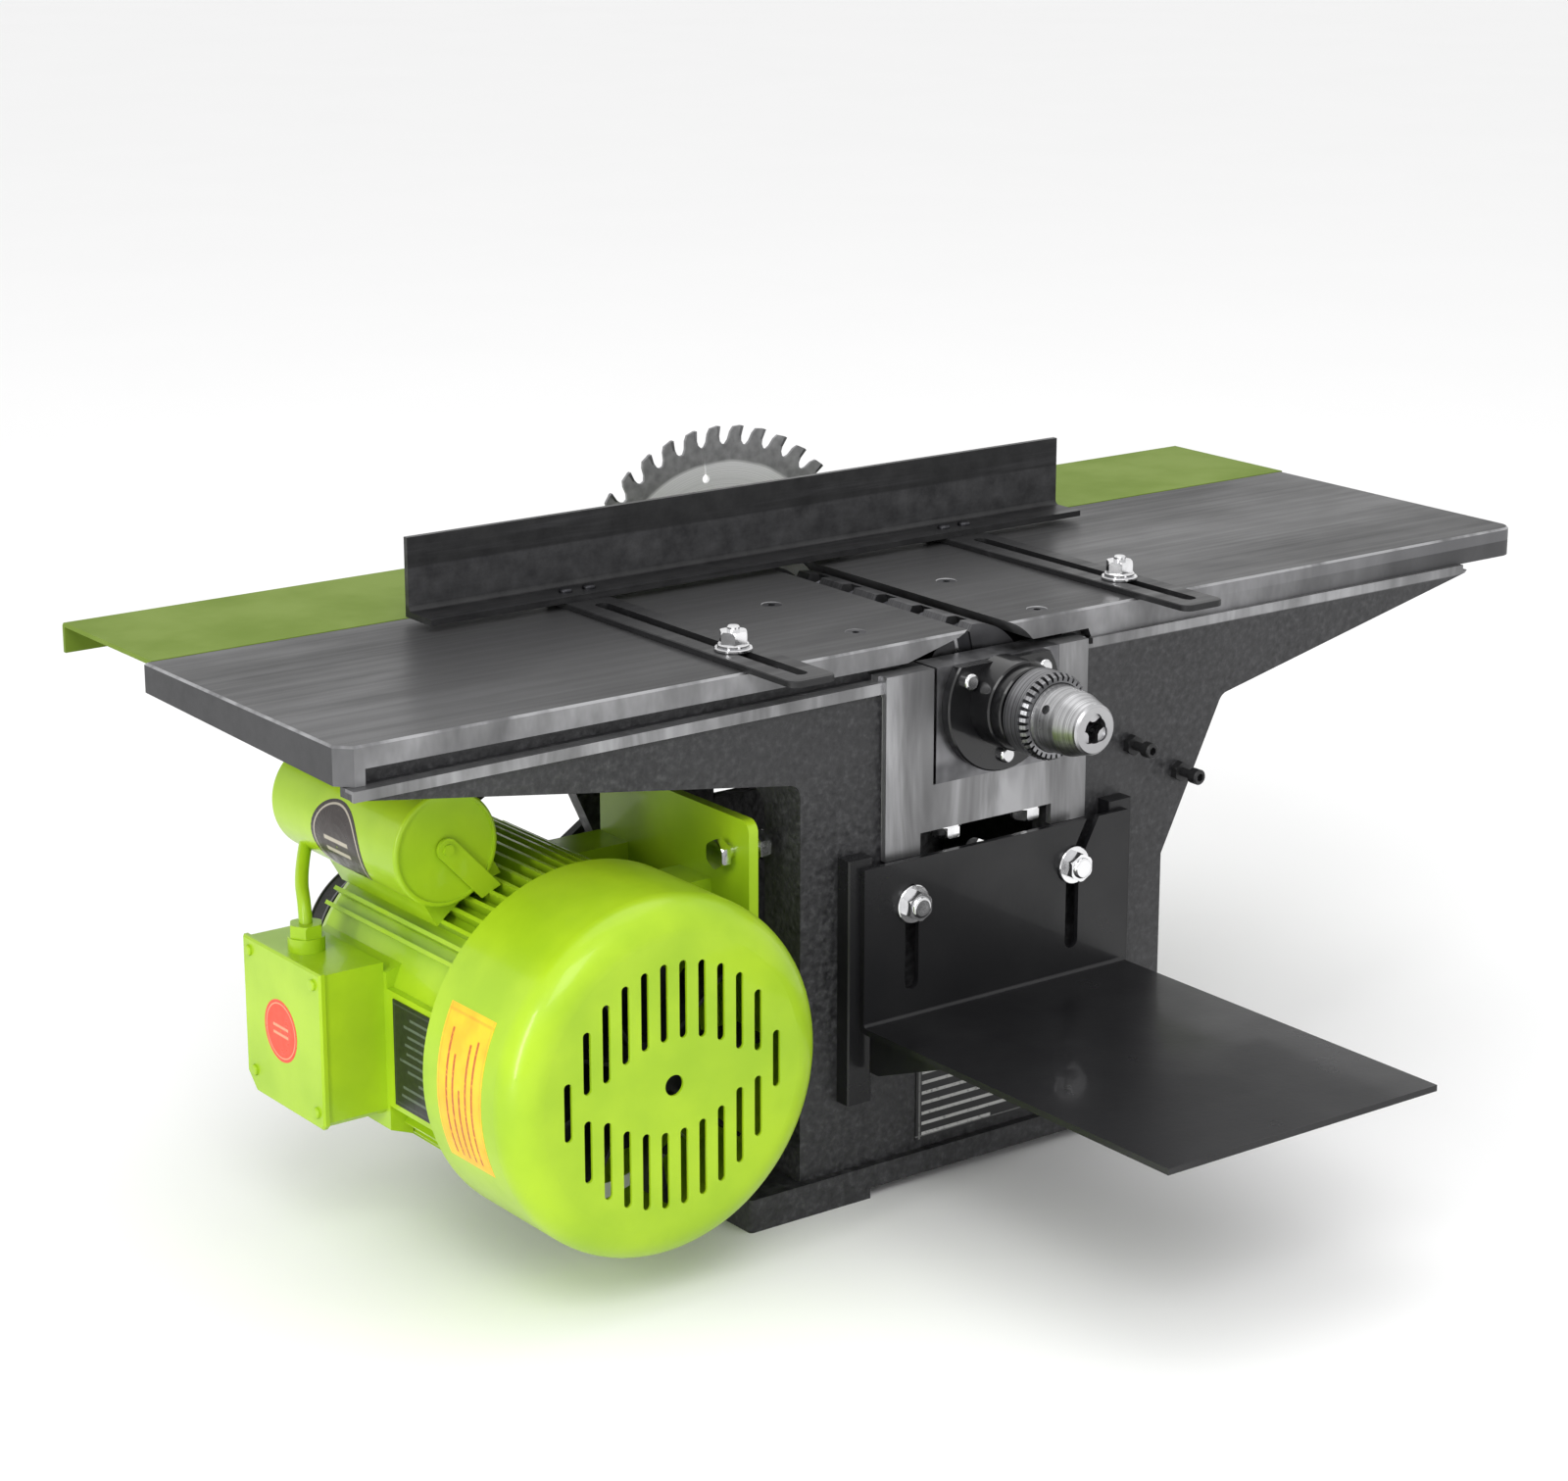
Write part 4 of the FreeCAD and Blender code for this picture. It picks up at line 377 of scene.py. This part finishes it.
def fence_steel():
    """Black fence angle whose lower face is rubbed paler by work."""
    m = Finish("fence_steel")
    z = m.axis(2)
    rolled = m.noise(1.0, detail=4.0, roughness=0.65, stretch=(6.0, 60.0, 140.0))
    mottle = m.noise(70.0, detail=4.0, roughness=0.65)
    upright = m.span(z, FENCE_LOW.z + 0.006, FENCE_LOW.z + 0.009)
    worn = m.all_of(upright, m.span(z, FENCE_LINE - 0.001, FENCE_LINE + 0.001, 1.0, 0.0))
    dark = m.tones(mottle, (0.3, (0.009, 0.009, 0.010)), (0.7, (0.024, 0.024, 0.025)))
    pale = m.tones(mottle, (0.3, (0.030, 0.030, 0.032)), (0.7, (0.075, 0.075, 0.078)))
    m.colour(m.mix(m.span(rolled, 0.5, 0.8, 0.0, 0.35), m.mix(worn, dark, pale), (0.085, 0.085, 0.09)))
    m.metal(m.mix_value(worn, 0.3, 0.55))
    m.rough(m.span(rolled, 0.3, 0.7, 0.48, 0.32))
    m.relief(rolled, 0.00012, 0.6)
    return m.material


# ---- bright metals -----------------------------------------------------------------------------


def plating(name, dark, light, rough, grain_depth=0.00002):
    """Plated or polished metal with handling marks."""
    m = Finish(name)
    marks = m.noise(120.0, detail=4.0, roughness=0.6)
    clouds = m.noise(40.0, detail=2.0)
    m.colour(m.mix(m.span(clouds, 0.3, 0.7), dark, light))
    m.metal(1.0)
    m.rough(m.span(marks, 0.3, 0.75, rough, rough + 0.14))
    m.relief(marks, grain_depth, 0.6)
    return m.material


def turned(name, dark, light, rough, pitch=0.0007):
    """Steel turned about an axis along Y: fine rings and drawn-out highlights."""
    m = Finish(name)
    marks = m.noise(90.0, detail=4.0, roughness=0.6)
    rings = m.noise(1.0, detail=2.0, stretch=(8.0, 1.0 / pitch, 8.0))
    body = m.mix(m.span(rings, 0.3, 0.7), dark, light)
    m.colour(m.mix(m.span(marks, 0.6, 0.85, 0.0, 0.4), body, dark))
    m.metal(1.0)
    m.rough(m.span(marks, 0.3, 0.75, rough, rough + 0.16))
    m.relief(rings, 0.00004, 0.7)
    m.round_the_y_axis(0.55)
    return m.material


SPINDLE_LOW, SPINDLE_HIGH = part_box("cutterhead")
SPINDLE_Z = (SPINDLE_LOW.z + SPINDLE_HIGH.z) / 2
BLADE_LOW, BLADE_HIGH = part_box("blade_tips")
BLADE_RADIUS = (BLADE_HIGH.z - BLADE_LOW.z) / 2


def blade_steel():
    """Saw plate: polished disc with circular grain inside a greyer, matt toothed rim."""
    m = Finish("blade_steel")
    radius = m.radius_from(0.0, SPINDLE_Z)
    wobble = m.maths("MULTIPLY", m.noise(40.0, detail=2.0), 0.004)
    edge = BLADE_RADIUS - 0.0245
    rim = m.span(m.maths("ADD", radius, wobble), edge, edge + 0.0035)
    rings = m.add("ShaderNodeTexNoise", noise_dimensions="1D")
    m.feed(rings.inputs["W"], radius)
    rings.inputs["Scale"].default_value = 1700.0
    rings.inputs["Detail"].default_value = 3.0
    grain = rings.outputs["Fac"]
    polished = m.tones(grain, (0.3, (0.60, 0.60, 0.61)), (0.7, (0.84, 0.84, 0.85)))
    matt = m.tones(m.noise(160.0, detail=3.0), (0.3, (0.16, 0.16, 0.165)), (0.7, (0.26, 0.26, 0.265)))
    m.colour(m.mix(rim, polished, matt))
    m.metal(m.mix_value(rim, 0.3, 0.3))
    m.rough(m.mix_value(rim, m.span(grain, 0.3, 0.7, 0.38, 0.48), 0.55))
    m.relief(grain, 0.00003, 0.6)
    m.round_the_y_axis(0.75)
    return m.material


def stator_iron():
    """Stacked laminations, with varnished copper windings at both ends."""
    m = Finish("stator_iron")
    low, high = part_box("stator")
    middle = (low.y + high.y) / 2
    half = (high.y - low.y) / 2
    away = m.maths("ABSOLUTE", m.maths("SUBTRACT", m.axis(1), middle))
    ends = m.span(away, half * 0.62, half * 0.64)
    plates = m.maths("SINE", m.maths("MULTIPLY", m.axis(1), 2 * math.pi / (0.9 * MM)))
    strands = m.noise(1.0, detail=3.0, stretch=(260.0, 60.0, 260.0), distortion=1.5)
    copper = m.tones(strands, (0.35, (0.20, 0.05, 0.015)), (0.65, (0.62, 0.24, 0.08)))
    iron = m.tones(m.span(plates, -1.0, 1.0), (0.2, (0.05, 0.05, 0.055)), (0.8, (0.17, 0.17, 0.175)))
    m.colour(m.mix(ends, iron, copper))
    m.metal(0.8)
    m.rough(m.span(strands, 0.3, 0.7, 0.55, 0.35))
    m.relief(m.mix_value(ends, m.span(plates, -1.0, 1.0), strands), 0.0003, 0.7)
    return m.material


# ---- plastics and rubber -----------------------------------------------------------------------


def moulded(name, dark, light, rough):
    """Moulded plastic or rubber with a fine spark-eroded grain."""
    m = Finish(name)
    grain = m.noise(900.0, detail=2.0)
    clouds = m.noise(25.0, detail=3.0)
    m.colour(m.mix(m.span(clouds, 0.3, 0.7), dark, light))
    m.rough(m.span(grain, 0.3, 0.7, rough - 0.06, rough + 0.08))
    m.relief(grain, 0.00012, 0.6)
    return m.material


# ---- plates and stickers -----------------------------------------------------------------------


def ruled_plate(name, ground, ink, across, up, low, high, rows, margin, stretch_rows=1.0):
    """Blank data plate: pale bars of uneven length on a dark ground, and a thin border.

    across and up are the axes of its face, low and high its corners."""
    m = Finish(name)
    a, b = m.axis(across), m.axis(up)
    width, height = high[across] - low[across], high[up] - low[up]
    u = m.maths("DIVIDE", m.maths("SUBTRACT", a, low[across]), width)
    v = m.maths("DIVIDE", m.maths("SUBTRACT", b, low[up]), height)
    row = m.maths("MULTIPLY", v, float(rows))
    number = m.maths("FLOOR", row)
    within = m.maths("FRACT", row)
    length = m.add("ShaderNodeTexWhiteNoise", noise_dimensions="1D")
    m.feed(length.inputs["W"], m.maths("ADD", number, stretch_rows))
    reach = m.span(length.outputs["Value"], 0.0, 1.0, 0.55, 0.92, smooth=False)
    bar = m.all_of(m.between(within, 0.34, 0.66, 0.03), m.span(u, margin, margin + 0.01),
                   m.span(m.maths("SUBTRACT", u, reach), -0.01, 0.0, 1.0, 0.0),
                   m.between(v, margin, 1.0 - margin, 0.01))
    edge_u = m.maths("MINIMUM", u, m.maths("SUBTRACT", 1.0, u))
    edge_v = m.maths("MINIMUM", v, m.maths("SUBTRACT", 1.0, v))
    border = m.any_of(m.between(edge_u, 0.02, 0.035, 0.004), m.between(edge_v, 0.03, 0.045, 0.004))
    fade = m.span(m.noise(400.0, detail=3.0), 0.25, 0.5, 0.45, 1.0)
    print_mask = m.maths("MULTIPLY", m.any_of(bar, m.maths("MULTIPLY", border, 0.3)), fade)
    base = m.mix(m.span(m.noise(60.0), 0.3, 0.7, 0.0, 0.5), ground, tuple(1.5 * c for c in ground))
    m.colour(m.mix(print_mask, base, ink))
    m.rough(m.span(m.noise(200.0), 0.3, 0.7, 0.28, 0.42))
    m.relief(print_mask, 0.00003, 0.5)
    return m.material


def disc_sticker(name, ground, ring, centre, axes, radius):
    """Round sticker: a plain ground, a thin ring near its edge and two bars across it."""
    m = Finish(name)
    u, v = (m.maths("DIVIDE", m.maths("SUBTRACT", m.axis(i), centre[i]), radius) for i in axes)
    away = m.maths("SQRT", m.maths("ADD", m.maths("POWER", u, 2.0), m.maths("POWER", v, 2.0)))
    rings = m.between(away, 0.86, 0.90, 0.01)
    bars = m.all_of(m.span(m.maths("ABSOLUTE", u), 0.45, 0.48, 1.0, 0.0),
                    m.between(m.maths("ABSOLUTE", v), 0.08, 0.17, 0.015))
    dirt = m.noise(150.0, detail=3.0)
    base = m.mix(m.span(dirt, 0.4, 0.8, 0.0, 0.3), ground, tuple(0.7 * c for c in ground))
    m.colour(m.mix(m.maths("MULTIPLY", m.any_of(rings, bars), 0.75), base, ring))
    m.rough(m.span(dirt, 0.3, 0.7, 0.26, 0.4))
    m.relief(dirt, 0.00003, 0.5)
    return m.material


def sticker_mesh(name, shell, faces, paint_used, body):
    """A thin closed sticker from a grid of (outer, inner) corner pairs, given row by row."""
    rows, columns = len(shell), len(shell[0])
    points = [p for row in shell for p in row[:]]
    outer = [pair[0] for pair in points]
    inner = [pair[1] for pair in points]
    count = len(outer)
    polygons = []
    for i in range(rows - 1):
        for j in range(columns - 1):
            if not faces(i, j):
                continue
            a, b = i * columns + j, i * columns + j + 1
            c, d = b + columns, a + columns
            polygons.append((a, b, c, d))
            polygons.append((count + d, count + c, count + b, count + a))
    edges = {}
    for polygon in polygons[::2]:
        for k in range(4):
            a, b = polygon[k], polygon[(k + 1) % 4]
            edges[(a, b)] = True
    for a, b in list(edges):
        if (b, a) not in edges:
            polygons.append((b, a, count + a, count + b))
    mesh = bpy.data.meshes.new(name)
    mesh.from_pydata([tuple(p) for p in outer + inner], [], polygons)
    mesh.validate()
    mesh.materials.append(paint_used)
    piece = bpy.data.objects.new(name, mesh)
    bpy.context.scene.collection.objects.link(piece)
    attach(piece, body)
    return piece


STICKER_LIFT = 0.12 * MM
STICKER_SINK = 0.05 * MM


def on_cylinder(axis_x, axis_z, radius, angle, y):
    """A point on a cylinder along Y; the angle is above the -X side."""
    return Vector((axis_x - radius * math.cos(angle), y, axis_z + radius * math.sin(angle)))


def wrapped_label(name, axis_x, axis_z, radius, angles, ys, steps, paint_used):
    """Rectangular label wrapped on a cylinder."""
    shell = []
    for i in range(steps + 1):
        angle = math.radians(angles[0] + (angles[1] - angles[0]) * i / steps)
        row = []
        for j in range(3):
            y = ys[0] + (ys[1] - ys[0]) * j / 2
            row.append((on_cylinder(axis_x, axis_z, radius + STICKER_LIFT, angle, y),
                        on_cylinder(axis_x, axis_z, radius - STICKER_SINK, angle, y)))
        shell.append(row)
    return sticker_mesh(name, shell, lambda i, j: True, paint_used, "motor")


def disc_rows(place, radius, rings=6, sides=48):
    """Rows of a disc: place(u, v, lift) gives its points, with u and v from -1 to 1."""
    shell = []
    for i in range(rings + 1):
        r = max(i / rings, 0.02)
        row = []
        for j in range(sides + 1):
            t = 2 * math.pi * j / sides
            u, v = r * math.cos(t) * radius, r * math.sin(t) * radius
            row.append((place(u, v, STICKER_LIFT), place(u, v, -STICKER_SINK)))
        shell.append(row)
    return shell


# ---- what each node wears ----------------------------------------------------------------------

GREEN_DARK = (0.285, 0.465, 0.010)
GREEN_LIGHT = (0.36, 0.55, 0.014)
SHEET_DARK = (0.125, 0.19, 0.020)
SHEET_LIGHT = (0.155, 0.225, 0.028)

plate_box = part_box("label_plate")
name_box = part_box("nameplate")

WEAR = {
    "casting": (hammered_casting(), ["base_casting"]),
    "tables": (ground_table(), ["outfeed_table", "infeed_table"]),
    "green": (paint("green_gloss", GREEN_DARK, GREEN_LIGHT, 0.34, 0.22, specular=0.3),
              ["motor_frame", "motor_end_shields", "fan_cover", "motor_plate", "terminal_box",
               "terminal_box_lid", "capacitor_bracket", "cable_gland", "capacitor", "motor_screws"]),
    "sheet": (paint("green_sheet", SHEET_DARK, SHEET_LIGHT, 0.60, 0.0, specular=0.15), ["saw_table"]),
    "cover": (paint("gloss_black", (0.003, 0.003, 0.0035), (0.007, 0.007, 0.008), 0.3, 0.5, specular=0.3),
              ["front_bearing_cover", "rear_bearing_cover"]),
    "brackets": (paint("satin_black", (0.005, 0.005, 0.006), (0.011, 0.011, 0.012), 0.5, 0.05, specular=0.25),
                 ["saw_table_brackets"]),
    "mortise": (paint("mortise_black", (0.005, 0.005, 0.006), (0.011, 0.011, 0.012), 0.32, 0.15,
                      specular=0.3),
                ["mortise_table", "mortise_guide_rails"]),
    "fence": (fence_steel(), ["fence_rail"]),
    "arms": (black_steel(), ["fence_arms", "upper_lock_screw", "lower_lock_screw"]),
    "chrome": (plating("chrome", (0.62, 0.62, 0.63), (0.86, 0.86, 0.87), 0.07),
               ["fence_clamps", "bearing_block_bolts", "bearing_cover_screws", "mortise_clamps",
                "tension_screw"]),
    "zinc": (plating("zinc", (0.40, 0.41, 0.43), (0.62, 0.62, 0.60), 0.26),
             ["hinge_rod"]),
    "blued": (plating("blued_steel", (0.030, 0.030, 0.034), (0.070, 0.070, 0.076), 0.34),
              ["gib_screws", "knife_gibs", "outfeed_table_screws", "infeed_table_screws",
               "fence_arm_screws"]),
    "blocks": (plating("machined_iron", (0.10, 0.10, 0.105), (0.27, 0.27, 0.28), 0.34, 0.00005),
               ["bearing_blocks", "infeed_gib_strip"]),
    "chuck": (turned("chuck_steel", (0.27, 0.27, 0.275), (0.52, 0.52, 0.53), 0.27),
              ["chuck_body", "chuck_jaw_1", "chuck_jaw_2", "chuck_jaw_3"]),
    "ring": (turned("sleeve_steel", (0.11, 0.11, 0.115), (0.30, 0.30, 0.31), 0.30, 0.0012),
             ["chuck_sleeve"]),
    "turned": (turned("turned_steel", (0.34, 0.34, 0.35), (0.60, 0.60, 0.61), 0.26),
               ["bearing_outer_rings", "bearing_inner_races", "rotor",
                "motor_bearings", "blade_flanges_and_nut", "infeed_adjusting_screw"]),
    "head": (turned("head_steel", (0.085, 0.085, 0.09), (0.20, 0.20, 0.205), 0.34), ["cutterhead"]),
    "pulleys": (turned("pulley_iron", (0.10, 0.10, 0.105), (0.22, 0.22, 0.225), 0.42),
                ["spindle_pulley", "motor_pulley"]),
    "knives": (plating("knife_steel", (0.60, 0.60, 0.61), (0.84, 0.84, 0.85), 0.14), ["knives"]),
    "blade": (blade_steel(), ["saw_blade"]),
    "carbide": (plating("carbide", (0.16, 0.16, 0.165), (0.30, 0.30, 0.31), 0.36), ["blade_tips"]),
    "stator": (stator_iron(), ["stator"]),
    "rubber": (moulded("belt_rubber", (0.012, 0.012, 0.012), (0.026, 0.025, 0.024), 0.7), ["v_belts"]),
    "plastic": (moulded("black_plastic", (0.012, 0.012, 0.013), (0.024, 0.024, 0.026), 0.5),
                ["cooling_fan"]),
    "label": (ruled_plate("label_rows", (0.014, 0.014, 0.015), (0.50, 0.50, 0.49), 0, 2, *plate_box,
                          8, 0.04), ["label_plate"]),
    "nameplate": (ruled_plate("nameplate_rows", (0.008, 0.010, 0.009), (0.09, 0.11, 0.09), 1, 2,
                              *name_box, 12, 0.10), ["nameplate"]),
}


def dress_nodes():
    for material, names in WEAR.values():
        for name in names:
            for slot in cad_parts[name].material_slots:
                slot.material = material


# ---- belts -------------------------------------------------------------------------------------


def middle_of(node):
    low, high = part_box(node)
    return (low + high) / 2


def make_belts(rubber):
    """The belts again, as a rubber copy of the imported belts, which are hidden."""
    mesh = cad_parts["v_belts"].data.copy()
    mesh.name = "belt_loops"
    mesh.materials.clear()
    mesh.materials.append(rubber)
    belts = bpy.data.objects.new("belt_loops", mesh)
    bpy.context.scene.collection.objects.link(belts)
    upper, lower = middle_of("spindle_pulley"), middle_of("motor_pulley")
    lower.y = upper.y
    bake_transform(belts)
    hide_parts("v_belts")


# ---- stickers ----------------------------------------------------------------------------------


def make_stickers():
    low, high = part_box("fan_cover")
    cover_r = (high.z - low.z) / 2
    cover_x, cover_z = (low.x + high.x) / 2, (low.z + high.z) / 2
    ys = (-0.152, -0.104)
    orange = ruled_plate("orange_rows", (0.85, 0.42, 0.005), (0.45, 0.10, 0.010), 2, 1,
                         Vector((0, ys[0], cover_z - 0.05)), Vector((0, ys[1], cover_z + 0.05)), 7, 0.10)
    wrapped_label("orange_label", cover_x, cover_z, cover_r, (-23.0, 27.0), ys, 24, orange)

    low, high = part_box("terminal_box_lid")
    face = low.x
    centre = Vector((face, 0.038, 0.141))
    red = disc_sticker("red_disc", (0.72, 0.050, 0.012), (0.86, 0.36, 0.20), centre, (1, 2), 0.020)
    rows = disc_rows(lambda u, v, lift: Vector((face - lift, centre.y + u, centre.z + v)), 0.020)
    sticker_mesh("red_sticker", rows, lambda i, j: True, red, "motor")

    low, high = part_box("capacitor")
    can_r = (high.z - low.z) / 2
    can_x, can_z = (low.x + high.x) / 2, (low.z + high.z) / 2
    can_y = 0.018
    tilt = math.radians(-16.0)

    def on_can(u, v, lift):
        return on_cylinder(can_x, can_z, can_r + lift, tilt + v / can_r, can_y + u)

    middle = on_can(0.0, 0.0, 0.0)
    dark = disc_sticker("dark_disc", (0.022, 0.014, 0.012), (0.55, 0.50, 0.40), middle, (1, 2), 0.030)
    sticker_mesh("capacitor_sticker", disc_rows(on_can, 0.030), lambda i, j: True, dark, "motor")


# ---- studio ------------------------------------------------------------------------------------


def make_floor():
    size = 60.0
    mesh = bpy.data.meshes.new("floor")
    corners = [(-size, -size, 0.0), (size, -size, 0.0), (size, size, 0.0), (-size, size, 0.0)]
    mesh.from_pydata(corners, [], [(0, 1, 2, 3)])
    floor = bpy.data.objects.new("floor", mesh)
    bpy.context.scene.collection.objects.link(floor)
    m = Finish("floor")
    m.colour(m.mix(m.noise(3.0), (0.88, 0.88, 0.88), (0.90, 0.90, 0.90)))
    m.rough(0.9)
    mesh.materials.append(m.material)


def area_light(name, place, target, size, power, tall=None):
    data = bpy.data.lights.new(name, "AREA")
    data.shape = "RECTANGLE"
    data.size = size
    data.size_y = tall or size
    data.energy = power
    light = bpy.data.objects.new(name, data)
    light.location = place
    light.rotation_mode = "QUATERNION"
    light.rotation_quaternion = (Vector(target) - Vector(place)).to_track_quat("-Z", "Y")
    bpy.context.scene.collection.objects.link(light)


def make_lights():
    world = bpy.data.worlds.new("studio")
    world.use_nodes = True
    back = world.node_tree.nodes["Background"]
    back.inputs["Color"].default_value = (1.0, 1.0, 1.0, 1.0)
    back.inputs["Strength"].default_value = 1.0
    bpy.context.scene.world = world
    area_light("key", (-1.6, -2.2, 2.6), (0.0, 0.0, 0.25), 1.6, 36.0)
    area_light("left_softbox", (-2.6, -0.9, 0.9), (-0.3, -0.1, 0.15), 0.35, 26.0, 1.6)
    area_light("top", (0.3, 0.4, 3.0), (0.0, 0.0, 0.3), 2.2, 14.0)
    bpy.context.scene.view_settings.view_transform = "Standard"


make_camera()
make_lead(WEAR["green"][0])
dress_nodes()
make_belts(WEAR["rubber"][0])
make_stickers()
make_floor()
make_lights()
